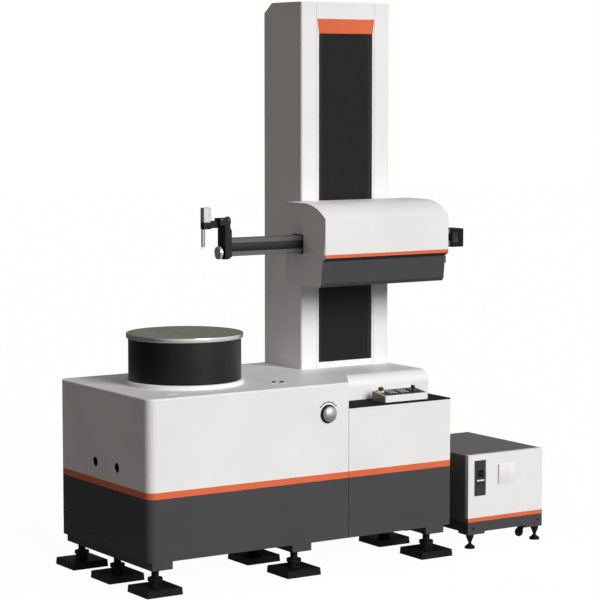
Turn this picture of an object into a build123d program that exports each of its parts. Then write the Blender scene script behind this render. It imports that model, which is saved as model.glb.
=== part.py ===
from build123d import *
import math
import os

os.makedirs("parts", exist_ok=True)

# Roundness measuring instrument. Origin on the floor, at the middle of the base's width
# and of its three rows of feet.
# +X runs along the front to the right, +Y to the back and +Z up. Millimetres.

# Feet: three rows of three, each a pad, a jack body and a jack screw
foot_x = (-689.0, -20.0, 670.0)
foot_spacing_y = 317.0
pad_size = 165.0
pad_height = 30.0
pad_taper = 4.0
jack_body_radius = 25.5
jack_collar_radius = 31.0
jack_collar_bottom_z = 52.0
jack_collar_top_z = 65.0
tommy_hole_radius = 5.0
tommy_hole_z = 41.0
tommy_hole_turn = 15.0
screw_radius = 15.5
screw_head_radius = 28.0
screw_head_height = 15.0
screw_head_rim = 4.0
screw_clearance = 0.15

# Base unit: rails, bed and covers
rail_bottom_z = 104.0
rail_width = 94.0
rail_back_inset = 38.0
rail_chamfer = 2.0
base_width = 1500.0
base_depth = 777.0
front_overhang = 380.0
cover_bottom_z = 136.0
band_bottom_z = 394.0
band_top_z = 421.0
base_top_z = 800.0
sheet = 4.0
seam = 2.0
seam_x = 215.0
left_corner_radius = 40.0
top_edge_radius = 6.0
pan_thickness = 14.0
bed_gap = 56.0
bed_back_gap = 24.0
bed_wall = 40.0
bed_top_z = 680.0
bed_rib_x = (0.0, 345.0)
access_hole_radius = 21.0
access_hole_z = 488.5
access_hole_y = (-111.5, 74.0)

# Tray recess at the right of the base, and the remote box on it
tray_thickness = 6.0
tray_top_z = 694.0
recess_depth = 162.0
recess_side_angle = 32.0
recess_fillet = 50.0
edge_break = 1.0
remote_width = 224.0
remote_depth = 100.0
remote_front_height = 28.0
remote_back_height = 40.0
remote_left_x = 424.0
remote_front_gap = 26.0
remote_edge_radius = 3.0
remote_top_radius = 1.5
remote_well_depth = 14.0
stop_x = 447.0
stop_y = -285.0
stop_radius = 12.0
stop_collar_radius = 15.0
stop_collar_height = 5.0
stop_head_height = 12.0
stop_head_edge = 4.0
stop_stem_radius = 6.0
stop_travel = 4.0
joystick_x = 606.0
joystick_y = -300.0
joystick_well_radius = 19.0
gimbal_drop = 5.0
gimbal_radius = 14.0
gimbal_width = 3.0
gimbal_height = 6.0
gimbal_pin_radius = 1.5
gimbal_pin_length = 5.5
joystick_hub_height = 4.0
joystick_stem_radius = 4.0
joystick_grip_radius = 9.0
joystick_grip_length = 16.0
joystick_grip_edge = 2.0
joystick_height = 27.0
key_size = 10.0
key_pitch = 14.0
key_height = 2.5
key_block_x = (488.0, 548.0)
key_rows = 4
key_columns = 3

# Regulator knob on the base front
knob_x = 111.5
knob_z = 675.0
knob_ring_radius = 39.0
knob_ring_depth = 4.0
knob_radius = 35.0
knob_side = 7.0
knob_dome = 15.0

# Turntable
table_x = -364.0
table_setback = 85.0
disc_radius = 246.0
disc_thickness = 19.0
disc_edge = 2.5
drum_radius = 237.4
drum_wall = 6.0
drum_lift = 22.0
drum_height = 172.0
collar_height = 18.0
collar_width = 14.0
collar_radius = 247.0
collar_edge = 3.0
table_hole_radius = 4.2
table_hole_depth = 14.0
table_hole_circles = ((180.0, 168.0), (95.0, 66.0))
table_holes_each = 4
spindle_radius = 80.0
spindle_plate_radius = 200.0
spindle_plate_thickness = 30.0
spindle_bottom_z = 402.0
bearing_barrel_radius = 150.0
bearing_flange_radius = 190.0
bearing_flange_thickness = 25.0
bearing_top_gap = 10.0
bearing_bottom_z = 380.0
drive_radius = 110.0
drive_height = 120.0
drive_chamfer = 6.0
running_gap = 0.3

# Column
column_x = 511.0
column_width = 467.0
column_back_inset = 18.0
column_depth = 300.0
column_top_z = 2405.0
column_corner_radius = 10.0
column_back_chamfer_y = 62.0
column_back_chamfer_z = 44.0
frame_half_width = 154.0
window_half_width = 142.0
window_sill_height = 26.0
header_plate_height = 73.0
header_bevel_height = 63.0
header_half_width = 152.0
front_frame_thickness = 5.0
header_lip = 1.0
cover_band_half_width = 124.0
cover_band_thickness = 1.5
casting_width = 428.0
casting_depth = 230.0
casting_setback = 61.0
casting_wall = 30.0
casting_foot_thickness = 40.0
casting_foot_margin = 9.0
casting_top_gap = 45.0
casting_mouth = 280.0
guide_spacing = 340.0
guide_rail_width = 34.0
guide_rail_height = 26.0
drive_rod_radius = 16.0
drive_rod_setback = 60.0

# Carriage and head
carriage_width = 410.0
carriage_setback = 13.0
carriage_thickness = 16.0
carriage_bottom_z = 1240.0
carriage_height = 250.0
guide_block_width = 64.0
guide_block_length = 80.0
guide_block_depth = 26.0
guide_gap = 0.3
neck_half_gap = 127.0
neck_thickness = 12.0
neck_bottom_z = 1300.0
neck_height = 130.0
drive_block_width = 80.0
drive_block_height = 90.0
head_width = 648.0
head_reach = 325.0
head_column_gap = 19.0
head_bottom_z = 1188.0
head_top_z = 1541.4
crown_reach = 159.0
head_brow_z = 1480.0
trim_bottom_z = 1314.0
trim_top_z = 1328.5
trim_depth = 12.0
undercut_reach = 301.0
undercut_z = 1299.0
lower_front_reach = 292.0
lower_front_z = 1203.0
lower_chin_reach = 282.0
latch_size = (5.0, 27.0, 30.0)
latch_z = 1282.0

# Horizontal arm and the detector that it carries
arm_height = 74.0
arm_depth = 70.0
arm_z = 1365.0
arm_reach = 113.0
arm_left_x = -175.0
arm_right_x = 978.0
arm_groove_height = 35.0
arm_groove_depth = 8.0
arm_wall = 6.0
arm_edge = 1.5
arm_slot_gap = 1.3
arm_guide_wall = 20.0
end_block_length = 45.0
end_plate_length = 24.0
end_block_height = 82.0
end_block_drop = 3.0
end_block_depth = 84.0
end_block_chamfer = 8.0
bracket_thickness = 32.0
bracket_depth = 63.0
bracket_front_reach = 46.0
bracket_bottom_z = 1316.0
bracket_top_z = 1458.0
bracket_top_chamfer = 22.0
bracket_foot_chamfer = 11.0
pivot_block_x = (-207.0, -156.5)
pivot_block_front = 32.0
pivot_block_back = 15.0
pivot_block_z = (1446.0, 1487.0)
pivot_z = 1472.0
pivot_shaft_radius = 5.0
swivel_knob_radius = 20.0
swivel_knob_width = 10.0
knurl_count = 20
knurl_radius = 1.2
clamp_knob_radius = 27.0
clamp_knob_depth = 12.0
clamp_knob_edge = 2.0
clamp_hub_radius = 18.0
clamp_hub_depth = 8.0
clamp_knob_z = 1343.0
clamp_stem_radius = 8.0
detector_x = (-277.0, -241.0)
detector_depth = 31.0
link_depth = 30.0
link_z = (1446.0, 1476.0)
holder_bottom_z = 1442.0
holder_top_z = 1470.5
detector_top_z = 1532.5
detector_edge_radius = 4.0
detector_top_chamfer = 1.5
stylus_x = -272.0
stylus_tube_radius = 8.0
stylus_tube_gap = 0.8
stylus_tube_bottom_z = 1367.0
stylus_neck_radius = 2.5
stylus_neck_gap = 0.5
stylus_needle_radius = 0.9
stylus_needle_seat = 1.0
stylus_ball_radius = 2.0
stylus_neck_length = 12.0
stylus_tip_x = -279.0
stylus_tip_z = 1361.0

# Control cabinet beside the base
cabinet_left_x = 879.0
cabinet_width = 419.0
cabinet_front_y = -344.0
cabinet_depth = 548.0
cabinet_top_z = 420.0
cabinet_door_thickness = 22.0
cabinet_band_bottom_z = 121.5
cabinet_band_top_z = 139.0
cabinet_skirt_bottom_z = 75.0
cabinet_sheet = 3.0
chassis_margin = 60.0
chassis_thickness = 8.0
module_count = 3
module_gap = 15.0
module_height = 182.0
foot_block_size = (94.0, 70.0)
foot_block_bottom_z = 65.0
panel_inset = 34.0
panel_width = 64.0
panel_drop = 25.0
panel_height = 158.5
panel_depth = 3.0
panel_setback = 1.0
toggle_width = 24.0
toggle_opening_height = 27.0
toggle_inset = 34.5
toggle_drop = 85.0
toggle_reach = 11.0
toggle_axis_setback = 8.0
toggle_hub_radius = 6.0
toggle_root_height = 7.0
toggle_tip_height = 4.0
breaker_size = (39.0, 33.0)
breaker_corner = 5.0
breaker_rise = 1.5
breaker_depth = 16.0
lamp_strip_rise = 0.8
outlet_depth = 1.5
lamp_strip_drop = 27.0
lamp_strip_height = 6.0
outlet_drop = 38.0
outlet_height = 9.0
pull_slot_inset = 168.0
pull_slot_drop = 54.0
pull_slot_height = 88.0
pull_slot_width = 7.0
pull_slot_depth = 14.0
plate_inset = 193.0
plate_width = 64.0
plate_drop = 53.0
plate_height = 86.0
plate_rise = 0.8
skirt_hole_radius = 4.5
skirt_hole_depth = 6.0
skirt_hole_rise = 19.5
skirt_hole_insets = (28.0, 25.0)
cabinet_foot_insets = (34.0, 18.0)
cabinet_foot_end_gap = 30.0
cabinet_foot_pad_radius = 23.0
cabinet_foot_pad_thickness = 8.0
cabinet_foot_dish_radius = 12.0
cabinet_foot_dish_z = 17.0
cabinet_foot_neck_radius = 7.0
cabinet_foot_neck_z = (22.0, 27.0)
cabinet_foot_nut_radius = 17.5
cabinet_foot_nut_height = 12.0
caster_inset = 17.0
caster_end_gap = 112.0
caster_trail = 24.0
caster_wheel_radius = 21.0
caster_wheel_width = 14.0
caster_tread_edge = 3.0
caster_lift = 1.0
caster_plate_radius = 16.0
caster_plate_thickness = 8.0
caster_cheek_gap = 1.0
caster_cheek_thickness = 4.0
caster_cheek_root = 15.0
caster_axle_radius = 4.0
caster_hub_radius = 8.0

# Sizes that follow from the ones above
base_left = -base_width / 2
base_right = base_width / 2
base_front = -front_overhang
base_back = base_front + base_depth
recess_back_y = base_front + recess_depth
recess_side_slope = math.tan(math.radians(recess_side_angle))
recess_side_run = recess_depth * recess_side_slope
bed_bottom_z = cover_bottom_z + pan_thickness
drum_inner_radius = drum_radius - drum_wall
column_left = column_x - column_width / 2
column_back_y = base_back - column_back_inset
column_front_y = column_back_y - column_depth
casting_front_y = column_front_y + casting_setback
casting_top_z = column_top_z - casting_top_gap
drive_rod_y = casting_front_y + drive_rod_setback
carriage_front_y = column_front_y + carriage_setback
head_back_y = column_front_y - head_column_gap
head_front_y = column_front_y - head_reach
head_crown_y = column_front_y - crown_reach
undercut_y = column_front_y - undercut_reach
lower_front_y = column_front_y - lower_front_reach
lower_chin_y = column_front_y - lower_chin_reach
table_y = column_front_y - table_setback
detector_y = table_y
arm_y = column_front_y - arm_reach
bracket_front_y = arm_y - bracket_front_reach
pivot_block_y = (detector_y - pivot_block_front, detector_y + pivot_block_back)
drum_bottom_z = base_top_z + drum_lift
disc_bottom_z = drum_bottom_z + drum_height
disc_top_z = disc_bottom_z + disc_thickness
bearing_top_z = drum_bottom_z - bearing_top_gap
window_bottom_z = base_top_z + window_sill_height
header_top_z = column_top_z - header_plate_height
window_top_z = header_top_z - header_bevel_height
head_left = column_x - head_width / 2
head_right = column_x + head_width / 2
remote_front_y = base_front + remote_front_gap
remote_slope = math.degrees(math.atan((remote_back_height - remote_front_height) / remote_depth))
cabinet_right_x = cabinet_left_x + cabinet_width
cabinet_back_y = cabinet_front_y + cabinet_depth
cabinet_door_y = cabinet_front_y + cabinet_door_thickness
cabinet_foot_x = (cabinet_left_x + cabinet_foot_insets[0], cabinet_right_x - cabinet_foot_insets[1])
cabinet_foot_y = (cabinet_front_y + cabinet_foot_end_gap, cabinet_back_y - cabinet_foot_end_gap)
skirt_hole_x = (cabinet_left_x + skirt_hole_insets[0], cabinet_right_x - skirt_hole_insets[1])
skirt_hole_z = cabinet_skirt_bottom_z + skirt_hole_rise
caster_x = cabinet_right_x - caster_inset
caster_y = (cabinet_front_y + caster_end_gap, cabinet_back_y - caster_end_gap)
panel_x = (cabinet_left_x + panel_inset, cabinet_left_x + panel_inset + panel_width)
panel_z = (cabinet_top_z - panel_drop - panel_height, cabinet_top_z - panel_drop)
toggle_x = panel_x[0] + toggle_inset
toggle_z = cabinet_top_z - toggle_drop
lamp_strip_z = (toggle_z - lamp_strip_drop - lamp_strip_height, toggle_z - lamp_strip_drop)
outlet_z = (toggle_z - outlet_drop - outlet_height, toggle_z - outlet_drop)
pull_slot_x = cabinet_left_x + pull_slot_inset
pull_slot_z = (cabinet_top_z - pull_slot_drop - pull_slot_height, cabinet_top_z - pull_slot_drop)
plate_x = (cabinet_left_x + plate_inset, cabinet_left_x + plate_inset + plate_width)
plate_z = (cabinet_top_z - plate_drop - plate_height, cabinet_top_z - plate_drop)
caster_axle_z = caster_wheel_radius + caster_lift


def upright(x, y):
    """Plane through a vertical axis at x, y, for profiles that are turned about it."""
    return Plane(origin=(x, y, 0), x_dir=(1, 0, 0), z_dir=(0, -1, 0))


def vertical_axis(x, y):
    return Axis((x, y, 0), (0, 0, 1))


def span(low, high):
    """Middle and length of a stretch."""
    return (low + high) / 2, high - low


def block(x, y, z, mode=Mode.ADD):
    """A box between two positions on each axis."""
    (mid_x, size_x), (mid_y, size_y), (mid_z, size_z) = span(*x), span(*y), span(*z)
    with Locations((mid_x, mid_y, mid_z)):
        Box(size_x, size_y, size_z, mode=mode)


def base_plan(inset=0.0):
    """Plan of the base, taken in from the covers' outer faces."""
    with BuildSketch() as plan:
        with Locations((0, base_front + base_depth / 2)):
            Rectangle(base_width - 2 * inset, base_depth - 2 * inset)
        fillet(plan.vertices().sort_by(Axis.X)[:2], left_corner_radius - inset)
    return plan.sketch


def wall_plan(from_x, to_x):
    """Plan of the sheet walls that stand between two x positions."""
    with BuildSketch() as plan:
        add(base_plan())
        add(base_plan(sheet), mode=Mode.SUBTRACT)
        with Locations((span(from_x, to_x)[0], base_front + base_depth / 2)):
            Rectangle(to_x - from_x, base_depth, mode=Mode.INTERSECT)
    return plan.sketch


# Feet
foot_y = (-foot_spacing_y, 0.0, foot_spacing_y)
foot_places = [(x, y) for x in foot_x for y in foot_y]
with BuildPart() as foot_pads:
    with BuildSketch():
        with Locations(*foot_places):
            Rectangle(pad_size, pad_size)
    extrude(amount=pad_height, taper=pad_taper)
foot_pads.part.label = "foot_pads"
export_step(foot_pads.part, "parts/foot_pads.step")

with BuildPart() as jack_body:
    with BuildSketch(Plane.XY.offset(pad_height)):
        Circle(jack_body_radius)
        Circle(screw_radius + screw_clearance, mode=Mode.SUBTRACT)
    extrude(amount=jack_collar_top_z - pad_height)
    with BuildSketch(Plane.XY.offset(jack_collar_bottom_z)):
        Circle(jack_collar_radius)
        Circle(screw_radius + screw_clearance, mode=Mode.SUBTRACT)
    extrude(amount=jack_collar_top_z - jack_collar_bottom_z)
    with Locations(Location((0, 0, tommy_hole_z), (90, 0, -tommy_hole_turn))):
        Cylinder(tommy_hole_radius, 3 * jack_body_radius, mode=Mode.SUBTRACT)

with BuildPart() as foot_jack_bodies:
    with Locations(*foot_places):
        add(jack_body.part)
foot_jack_bodies.part.label = "foot_jack_bodies"
export_step(foot_jack_bodies.part, "parts/foot_jack_bodies.step")

screw_head_z = rail_bottom_z - screw_head_height
with BuildPart() as jack_screw:
    with BuildSketch(Plane.XZ):
        with BuildLine():
            Polyline(
                (0, pad_height),
                (screw_radius, pad_height),
                (screw_radius, screw_head_z),
                (screw_head_radius, rail_bottom_z - screw_head_rim),
                (screw_head_radius, rail_bottom_z),
                (0, rail_bottom_z),
                close=True,
            )
        make_face()
    revolve(axis=Axis.Z)

with BuildPart() as foot_jack_screws:
    with Locations(*foot_places):
        add(jack_screw.part)
foot_jack_screws.part.label = "foot_jack_screws"
export_step(foot_jack_screws.part, "parts/foot_jack_screws.step")

# Base frame: three rails under a floor pan
rail_back_y = base_back - rail_back_inset
with BuildPart() as base_frame:
    with BuildSketch(Plane.XY.offset(cover_bottom_z)):
        add(base_plan(sheet))
    extrude(amount=pan_thickness)
    for rail_x in foot_x:
        edges = (rail_x - rail_width / 2, rail_x + rail_width / 2)
        block(edges, (base_front, rail_back_y), (rail_bottom_z, cover_bottom_z))
    rail_feet = base_frame.faces().sort_by(Axis.Z)[: len(foot_x)]
    chamfer(rail_feet.edges().filter_by(Axis.X).group_by(Axis.Y)[0], rail_chamfer)
base_frame.part.label = "base_frame"
export_step(base_frame.part, "parts/base_frame.step")

# Bed: box casting with a machined top, open below where the pan closes it
bed_x = (base_left + bed_gap, base_right - bed_gap)
bed_y = (base_front + bed_gap, base_back - bed_back_gap)
with BuildPart() as bed:
    block(bed_x, bed_y, (bed_bottom_z, bed_top_z))
    block(
        (bed_x[0] + bed_wall, bed_x[1] - bed_wall),
        (bed_y[0] + bed_wall, bed_y[1] - bed_wall),
        (bed_bottom_z, bed_top_z - bed_wall),
        mode=Mode.SUBTRACT,
    )
    for rib_x in bed_rib_x:
        block(
            (rib_x - bed_wall / 2, rib_x + bed_wall / 2),
            bed_y,
            (bed_bottom_z, bed_top_z),
        )
    with Locations((table_x, table_y, bed_top_z)):
        Hole(bearing_barrel_radius + running_gap, bed_wall * 2)
bed.part.label = "bed"
export_step(bed.part, "parts/bed.step")

# Lower covers and the coloured band above them
with BuildPart() as skirt_left:
    with BuildSketch(Plane.XY.offset(cover_bottom_z)):
        add(wall_plan(base_left, seam_x))
    extrude(amount=band_bottom_z - cover_bottom_z)
skirt_left.part.label = "skirt_left"
export_step(skirt_left.part, "parts/skirt_left.step")

with BuildPart() as skirt_right:
    with BuildSketch(Plane.XY.offset(cover_bottom_z)):
        add(wall_plan(seam_x + seam, base_right))
    extrude(amount=band_bottom_z - cover_bottom_z)
skirt_right.part.label = "skirt_right"
export_step(skirt_right.part, "parts/skirt_right.step")

with BuildPart() as trim_band:
    with BuildSketch(Plane.XY.offset(band_bottom_z)):
        add(wall_plan(base_left, seam_x))
        add(wall_plan(seam_x + seam, base_right))
    extrude(amount=band_top_z - band_bottom_z)
trim_band.part.label = "trim_band"
export_step(trim_band.part, "parts/trim_band.step")

# Upper cover: one shell over the whole top, cut away over the tray
tray_bottom_z = tray_top_z - tray_thickness


def recess(inset=0.0):
    """Space over the tray, grown by inset into the walls around it."""
    back_y = recess_back_y + inset
    round_radius = recess_fillet - inset
    top_z = base_top_z - inset
    clear_z = base_top_z + top_edge_radius
    clear_y = base_front - top_edge_radius
    side_shift = inset / math.cos(math.radians(recess_side_angle))
    far_y = back_y + recess_fillet + top_edge_radius
    with BuildPart() as space:
        with BuildSketch(Plane.YZ.offset(seam_x - recess_depth)):
            with BuildLine():
                Line((clear_y, tray_bottom_z), (back_y, tray_bottom_z))
                Line((back_y, tray_bottom_z), (back_y, top_z - round_radius))
                TangentArc(
                    (back_y, top_z - round_radius),
                    (back_y + round_radius, top_z),
                    tangent=(0, 1),
                )
                Polyline(
                    (back_y + round_radius, top_z),
                    (back_y + round_radius, clear_z),
                    (clear_y, clear_z),
                    (clear_y, tray_bottom_z),
                )
            make_face()
        extrude(amount=base_right - seam_x + 2 * recess_depth)
        with BuildSketch(Plane.XY.offset(tray_bottom_z)):
            with BuildLine():
                near_x = seam_x - side_shift + (clear_y - base_front) * recess_side_slope
                far_x = seam_x - side_shift + (far_y - base_front) * recess_side_slope
                Polyline(
                    (near_x, clear_y),
                    (base_right + recess_depth, clear_y),
                    (base_right + recess_depth, far_y),
                    (far_x, far_y),
                    close=True,
                )
            make_face()
        extrude(amount=clear_z - tray_bottom_z, mode=Mode.INTERSECT)
    return space.part


def cover_body(inset=0.0):
    """Everything inside the upper cover's faces, taken in by inset."""
    opening = inset * 2
    with BuildPart() as body:
        with BuildSketch(Plane.XY.offset(band_top_z - opening)):
            add(base_plan(inset))
        extrude(amount=base_top_z - inset - band_top_z + opening)
        fillet(body.faces().sort_by(Axis.Z)[-1].edges(), top_edge_radius - inset)
        block(
            (seam_x + opening, base_right),
            (base_front, base_back),
            (band_top_z - opening, tray_bottom_z - opening),
            mode=Mode.SUBTRACT,
        )
        add(recess(inset), mode=Mode.SUBTRACT)
    return body.part


with BuildPart() as upper_cover:
    add(cover_body())
    add(cover_body(sheet), mode=Mode.SUBTRACT)
    with Locations((table_x, table_y, base_top_z)):
        Hole(spindle_plate_radius, 2 * top_edge_radius)
    block(
        (column_x - casting_width / 2 - sheet, column_x + casting_width / 2 + sheet),
        (casting_front_y - guide_rail_height - sheet, casting_front_y + casting_depth + sheet),
        (base_top_z - 2 * sheet, base_top_z + sheet),
        mode=Mode.SUBTRACT,
    )
    for hole_y in access_hole_y:
        with Locations(Location((base_left, hole_y, access_hole_z), (0, 90, 0))):
            Cylinder(access_hole_radius, 4 * sheet, mode=Mode.SUBTRACT)
upper_cover.part.label = "upper_cover"
export_step(upper_cover.part, "parts/upper_cover.step")

with BuildPart() as cover_right:
    with BuildSketch(Plane.XY.offset(band_top_z)):
        add(wall_plan(seam_x + seam, base_right))
    extrude(amount=tray_bottom_z - band_top_z)
cover_right.part.label = "cover_right"
export_step(cover_right.part, "parts/cover_right.step")

with BuildPart() as tray_top:
    with BuildSketch(Plane.XY.offset(tray_bottom_z)):
        with BuildLine():
            Polyline(
                (seam_x + seam, base_front),
                (base_right, base_front),
                (base_right, recess_back_y),
                (seam_x + seam + recess_side_run, recess_back_y),
                close=True,
            )
        make_face()
    extrude(amount=tray_thickness)
    chamfer(tray_top.faces().sort_by(Axis.Z)[-1].edges().sort_by(Axis.Y)[0], edge_break)
tray_top.part.label = "tray_top"
export_step(tray_top.part, "parts/tray_top.step")

# Regulator knob on the base front: black ring and domed knob
with BuildPart() as knob_ring:
    with BuildSketch(Plane.XZ.offset(-base_front)):
        with Locations((knob_x, knob_z)):
            Circle(knob_ring_radius)
    extrude(amount=knob_ring_depth)
    chamfer(knob_ring.faces().sort_by(Axis.Y)[0].edges(), edge_break)
knob_ring.part.label = "knob_ring"
export_step(knob_ring.part, "parts/knob_ring.step")

knob_back_y = base_front - knob_ring_depth - running_gap
with BuildPart() as regulator_knob:
    with BuildSketch(Plane.XY.offset(knob_z)):
        with BuildLine():
            Polyline(
                (knob_x, knob_back_y - knob_side - knob_dome),
                (knob_x, knob_back_y),
                (knob_x + knob_radius, knob_back_y),
                (knob_x + knob_radius, knob_back_y - knob_side),
            )
            RadiusArc(
                (knob_x + knob_radius, knob_back_y - knob_side),
                (knob_x, knob_back_y - knob_side - knob_dome),
                (knob_radius**2 + knob_dome**2) / (2 * knob_dome),
            )
        make_face()
    revolve(axis=Axis((knob_x, 0, knob_z), (0, 1, 0)))
regulator_knob.part.label = "regulator_knob"
export_step(regulator_knob.part, "parts/regulator_knob.step")

# Turntable
with BuildPart() as table_collar:
    with BuildSketch(Plane.XY.offset(base_top_z)):
        with Locations((table_x, table_y)):
            Circle(collar_radius)
            Circle(collar_radius - collar_width, mode=Mode.SUBTRACT)
    extrude(amount=collar_height)
    chamfer(table_collar.faces().sort_by(Axis.Z)[-1].edges().sort_by(SortBy.LENGTH)[-1], collar_edge)
table_collar.part.label = "table_collar"
export_step(table_collar.part, "parts/table_collar.step")

with BuildPart() as table_drum:
    with BuildSketch(Plane.XY.offset(drum_bottom_z)):
        with Locations((table_x, table_y)):
            Circle(drum_radius)
            Circle(drum_inner_radius, mode=Mode.SUBTRACT)
    extrude(amount=disc_bottom_z - drum_bottom_z)
table_drum.part.label = "table_drum"
export_step(table_drum.part, "parts/table_drum.step")

with BuildPart() as table_disc:
    with BuildSketch(Plane.XY.offset(disc_bottom_z)):
        with Locations((table_x, table_y)):
            Circle(disc_radius)
    extrude(amount=disc_top_z - disc_bottom_z)
    chamfer(table_disc.edges().filter_by(GeomType.CIRCLE), disc_edge)
    for circle_radius, first_angle in table_hole_circles:
        with Locations((table_x, table_y, disc_top_z)):
            with PolarLocations(circle_radius, table_holes_each, first_angle):
                Hole(table_hole_radius, table_hole_depth)
table_disc.part.label = "table_disc"
export_step(table_disc.part, "parts/table_disc.step")

# Spindle with the plate that carries the disc, in its bearing housing
with BuildPart() as spindle:
    with BuildSketch(upright(table_x, table_y)):
        with BuildLine():
            Polyline(
                (0, spindle_bottom_z),
                (spindle_radius, spindle_bottom_z),
                (spindle_radius, drum_bottom_z),
                (spindle_plate_radius, drum_bottom_z),
                (spindle_plate_radius, drum_bottom_z + spindle_plate_thickness),
                (bearing_barrel_radius, drum_bottom_z + spindle_plate_thickness),
                (bearing_barrel_radius, disc_bottom_z - spindle_plate_thickness),
                (spindle_plate_radius, disc_bottom_z - spindle_plate_thickness),
                (spindle_plate_radius, disc_bottom_z),
                (0, disc_bottom_z),
                close=True,
            )
        make_face()
    revolve(axis=vertical_axis(table_x, table_y))
spindle.part.label = "spindle"
export_step(spindle.part, "parts/spindle.step")

with BuildPart() as bearing_housing:
    with BuildSketch(upright(table_x, table_y)):
        with BuildLine():
            Polyline(
                (spindle_radius + running_gap, bearing_bottom_z),
                (bearing_barrel_radius, bearing_bottom_z),
                (bearing_barrel_radius, bed_top_z),
                (bearing_flange_radius, bed_top_z),
                (bearing_flange_radius, bed_top_z + bearing_flange_thickness),
                (bearing_barrel_radius, bed_top_z + bearing_flange_thickness),
                (bearing_barrel_radius, bearing_top_z),
                (spindle_radius + running_gap, bearing_top_z),
                close=True,
            )
        make_face()
    revolve(axis=vertical_axis(table_x, table_y))
bearing_housing.part.label = "bearing_housing"
export_step(bearing_housing.part, "parts/bearing_housing.step")

with BuildPart() as table_drive:
    with BuildSketch(Plane.XY.offset(bearing_bottom_z - drive_height)):
        with Locations((table_x, table_y)):
            Circle(drive_radius)
    extrude(amount=drive_height)
    chamfer(table_drive.faces().sort_by(Axis.Z)[0].edges(), drive_chamfer)
table_drive.part.label = "table_drive"
export_step(table_drive.part, "parts/table_drive.step")

# Column: casting inside, sheet covers outside
casting_x = (column_x - casting_width / 2, column_x + casting_width / 2)
casting_y = (casting_front_y, casting_front_y + casting_depth)
casting_foot_top_z = bed_top_z + casting_foot_thickness
casting_inner_top_z = casting_top_z - casting_wall
with BuildPart() as column_casting:
    block(casting_x, casting_y, (bed_top_z, casting_top_z))
    block(
        (casting_x[0] + casting_wall, casting_x[1] - casting_wall),
        (casting_y[0] + casting_wall, casting_y[1] - casting_wall),
        (casting_foot_top_z, casting_inner_top_z),
        mode=Mode.SUBTRACT,
    )
    block(
        (column_x - casting_mouth / 2, column_x + casting_mouth / 2),
        (casting_y[0], casting_y[0] + casting_wall),
        (casting_foot_top_z, casting_inner_top_z),
        mode=Mode.SUBTRACT,
    )
    block(
        (casting_x[0] - casting_foot_margin, casting_x[1] + casting_foot_margin),
        (casting_y[0] - casting_foot_margin, casting_y[1]),
        (bed_top_z, casting_foot_top_z),
    )
column_casting.part.label = "column_casting"
export_step(column_casting.part, "parts/column_casting.step")

with BuildPart() as guide_rails:
    with BuildSketch(Plane.XY.offset(casting_foot_top_z)):
        with Locations((column_x, casting_front_y - guide_rail_height / 2)):
            with GridLocations(guide_spacing, 1, 2, 1):
                Rectangle(guide_rail_width, guide_rail_height)
    extrude(amount=casting_inner_top_z - casting_foot_top_z)
guide_rails.part.label = "guide_rails"
export_step(guide_rails.part, "parts/guide_rails.step")

with BuildPart() as drive_rod:
    with BuildSketch(Plane.XY.offset(casting_foot_top_z)):
        with Locations((column_x, drive_rod_y)):
            Circle(drive_rod_radius)
    extrude(amount=casting_inner_top_z - casting_foot_top_z)
drive_rod.part.label = "drive_rod"
export_step(drive_rod.part, "parts/drive_rod.step")


def column_profile(inset=0.0):
    """Side view of the column with its cut-off top rear corner."""
    with BuildSketch() as profile:
        with BuildLine():
            Polyline(
                (column_front_y, base_top_z),
                (column_back_y, base_top_z),
                (column_back_y, column_top_z - column_back_chamfer_z),
                (column_back_y - column_back_chamfer_y, column_top_z),
                (column_front_y, column_top_z),
                close=True,
            )
        make_face()
        if inset:
            offset(amount=-inset, kind=Kind.INTERSECTION, mode=Mode.REPLACE)
    return profile.sketch


def column_side(side):
    """A side cover, folded round its front corner, for the left (-1) or the right (1)."""
    edge_x = column_x + side * frame_half_width
    outer_x = column_x + side * column_width / 2
    width = abs(outer_x - edge_x)
    middle_x = (edge_x + outer_x) / 2
    middle_y = column_front_y + column_depth / 2
    with BuildPart() as cover:
        with BuildSketch(Plane.XY.offset(base_top_z)):
            with Locations((middle_x, middle_y)):
                Rectangle(width, column_depth)
            front = (vertices() - vertices().group_by(Axis.Y)[-1]).sort_by(Axis.X)
            fillet(front[0] if side < 0 else front[-1], column_corner_radius)
            with BuildSketch(mode=Mode.PRIVATE) as hollow:
                with Locations((middle_x - side * sheet / 2, middle_y + sheet / 2)):
                    Rectangle(width - sheet, column_depth - sheet)
                inner = vertices().group_by(Axis.Y)[0].sort_by(Axis.X)
                fillet(inner[0] if side < 0 else inner[-1], column_corner_radius - sheet)
            add(hollow.sketch, mode=Mode.SUBTRACT)
        extrude(amount=column_top_z - base_top_z)
        with BuildSketch(Plane.YZ.offset(column_left)):
            add(column_profile())
        extrude(amount=column_width, mode=Mode.INTERSECT)
    return cover.part


with BuildPart() as column_cover_left:
    add(column_side(-1))
column_cover_left.part.label = "column_cover_left"
export_step(column_cover_left.part, "parts/column_cover_left.step")

with BuildPart() as column_cover_right:
    add(column_side(1))
column_cover_right.part.label = "column_cover_right"
export_step(column_cover_right.part, "parts/column_cover_right.step")

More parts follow.
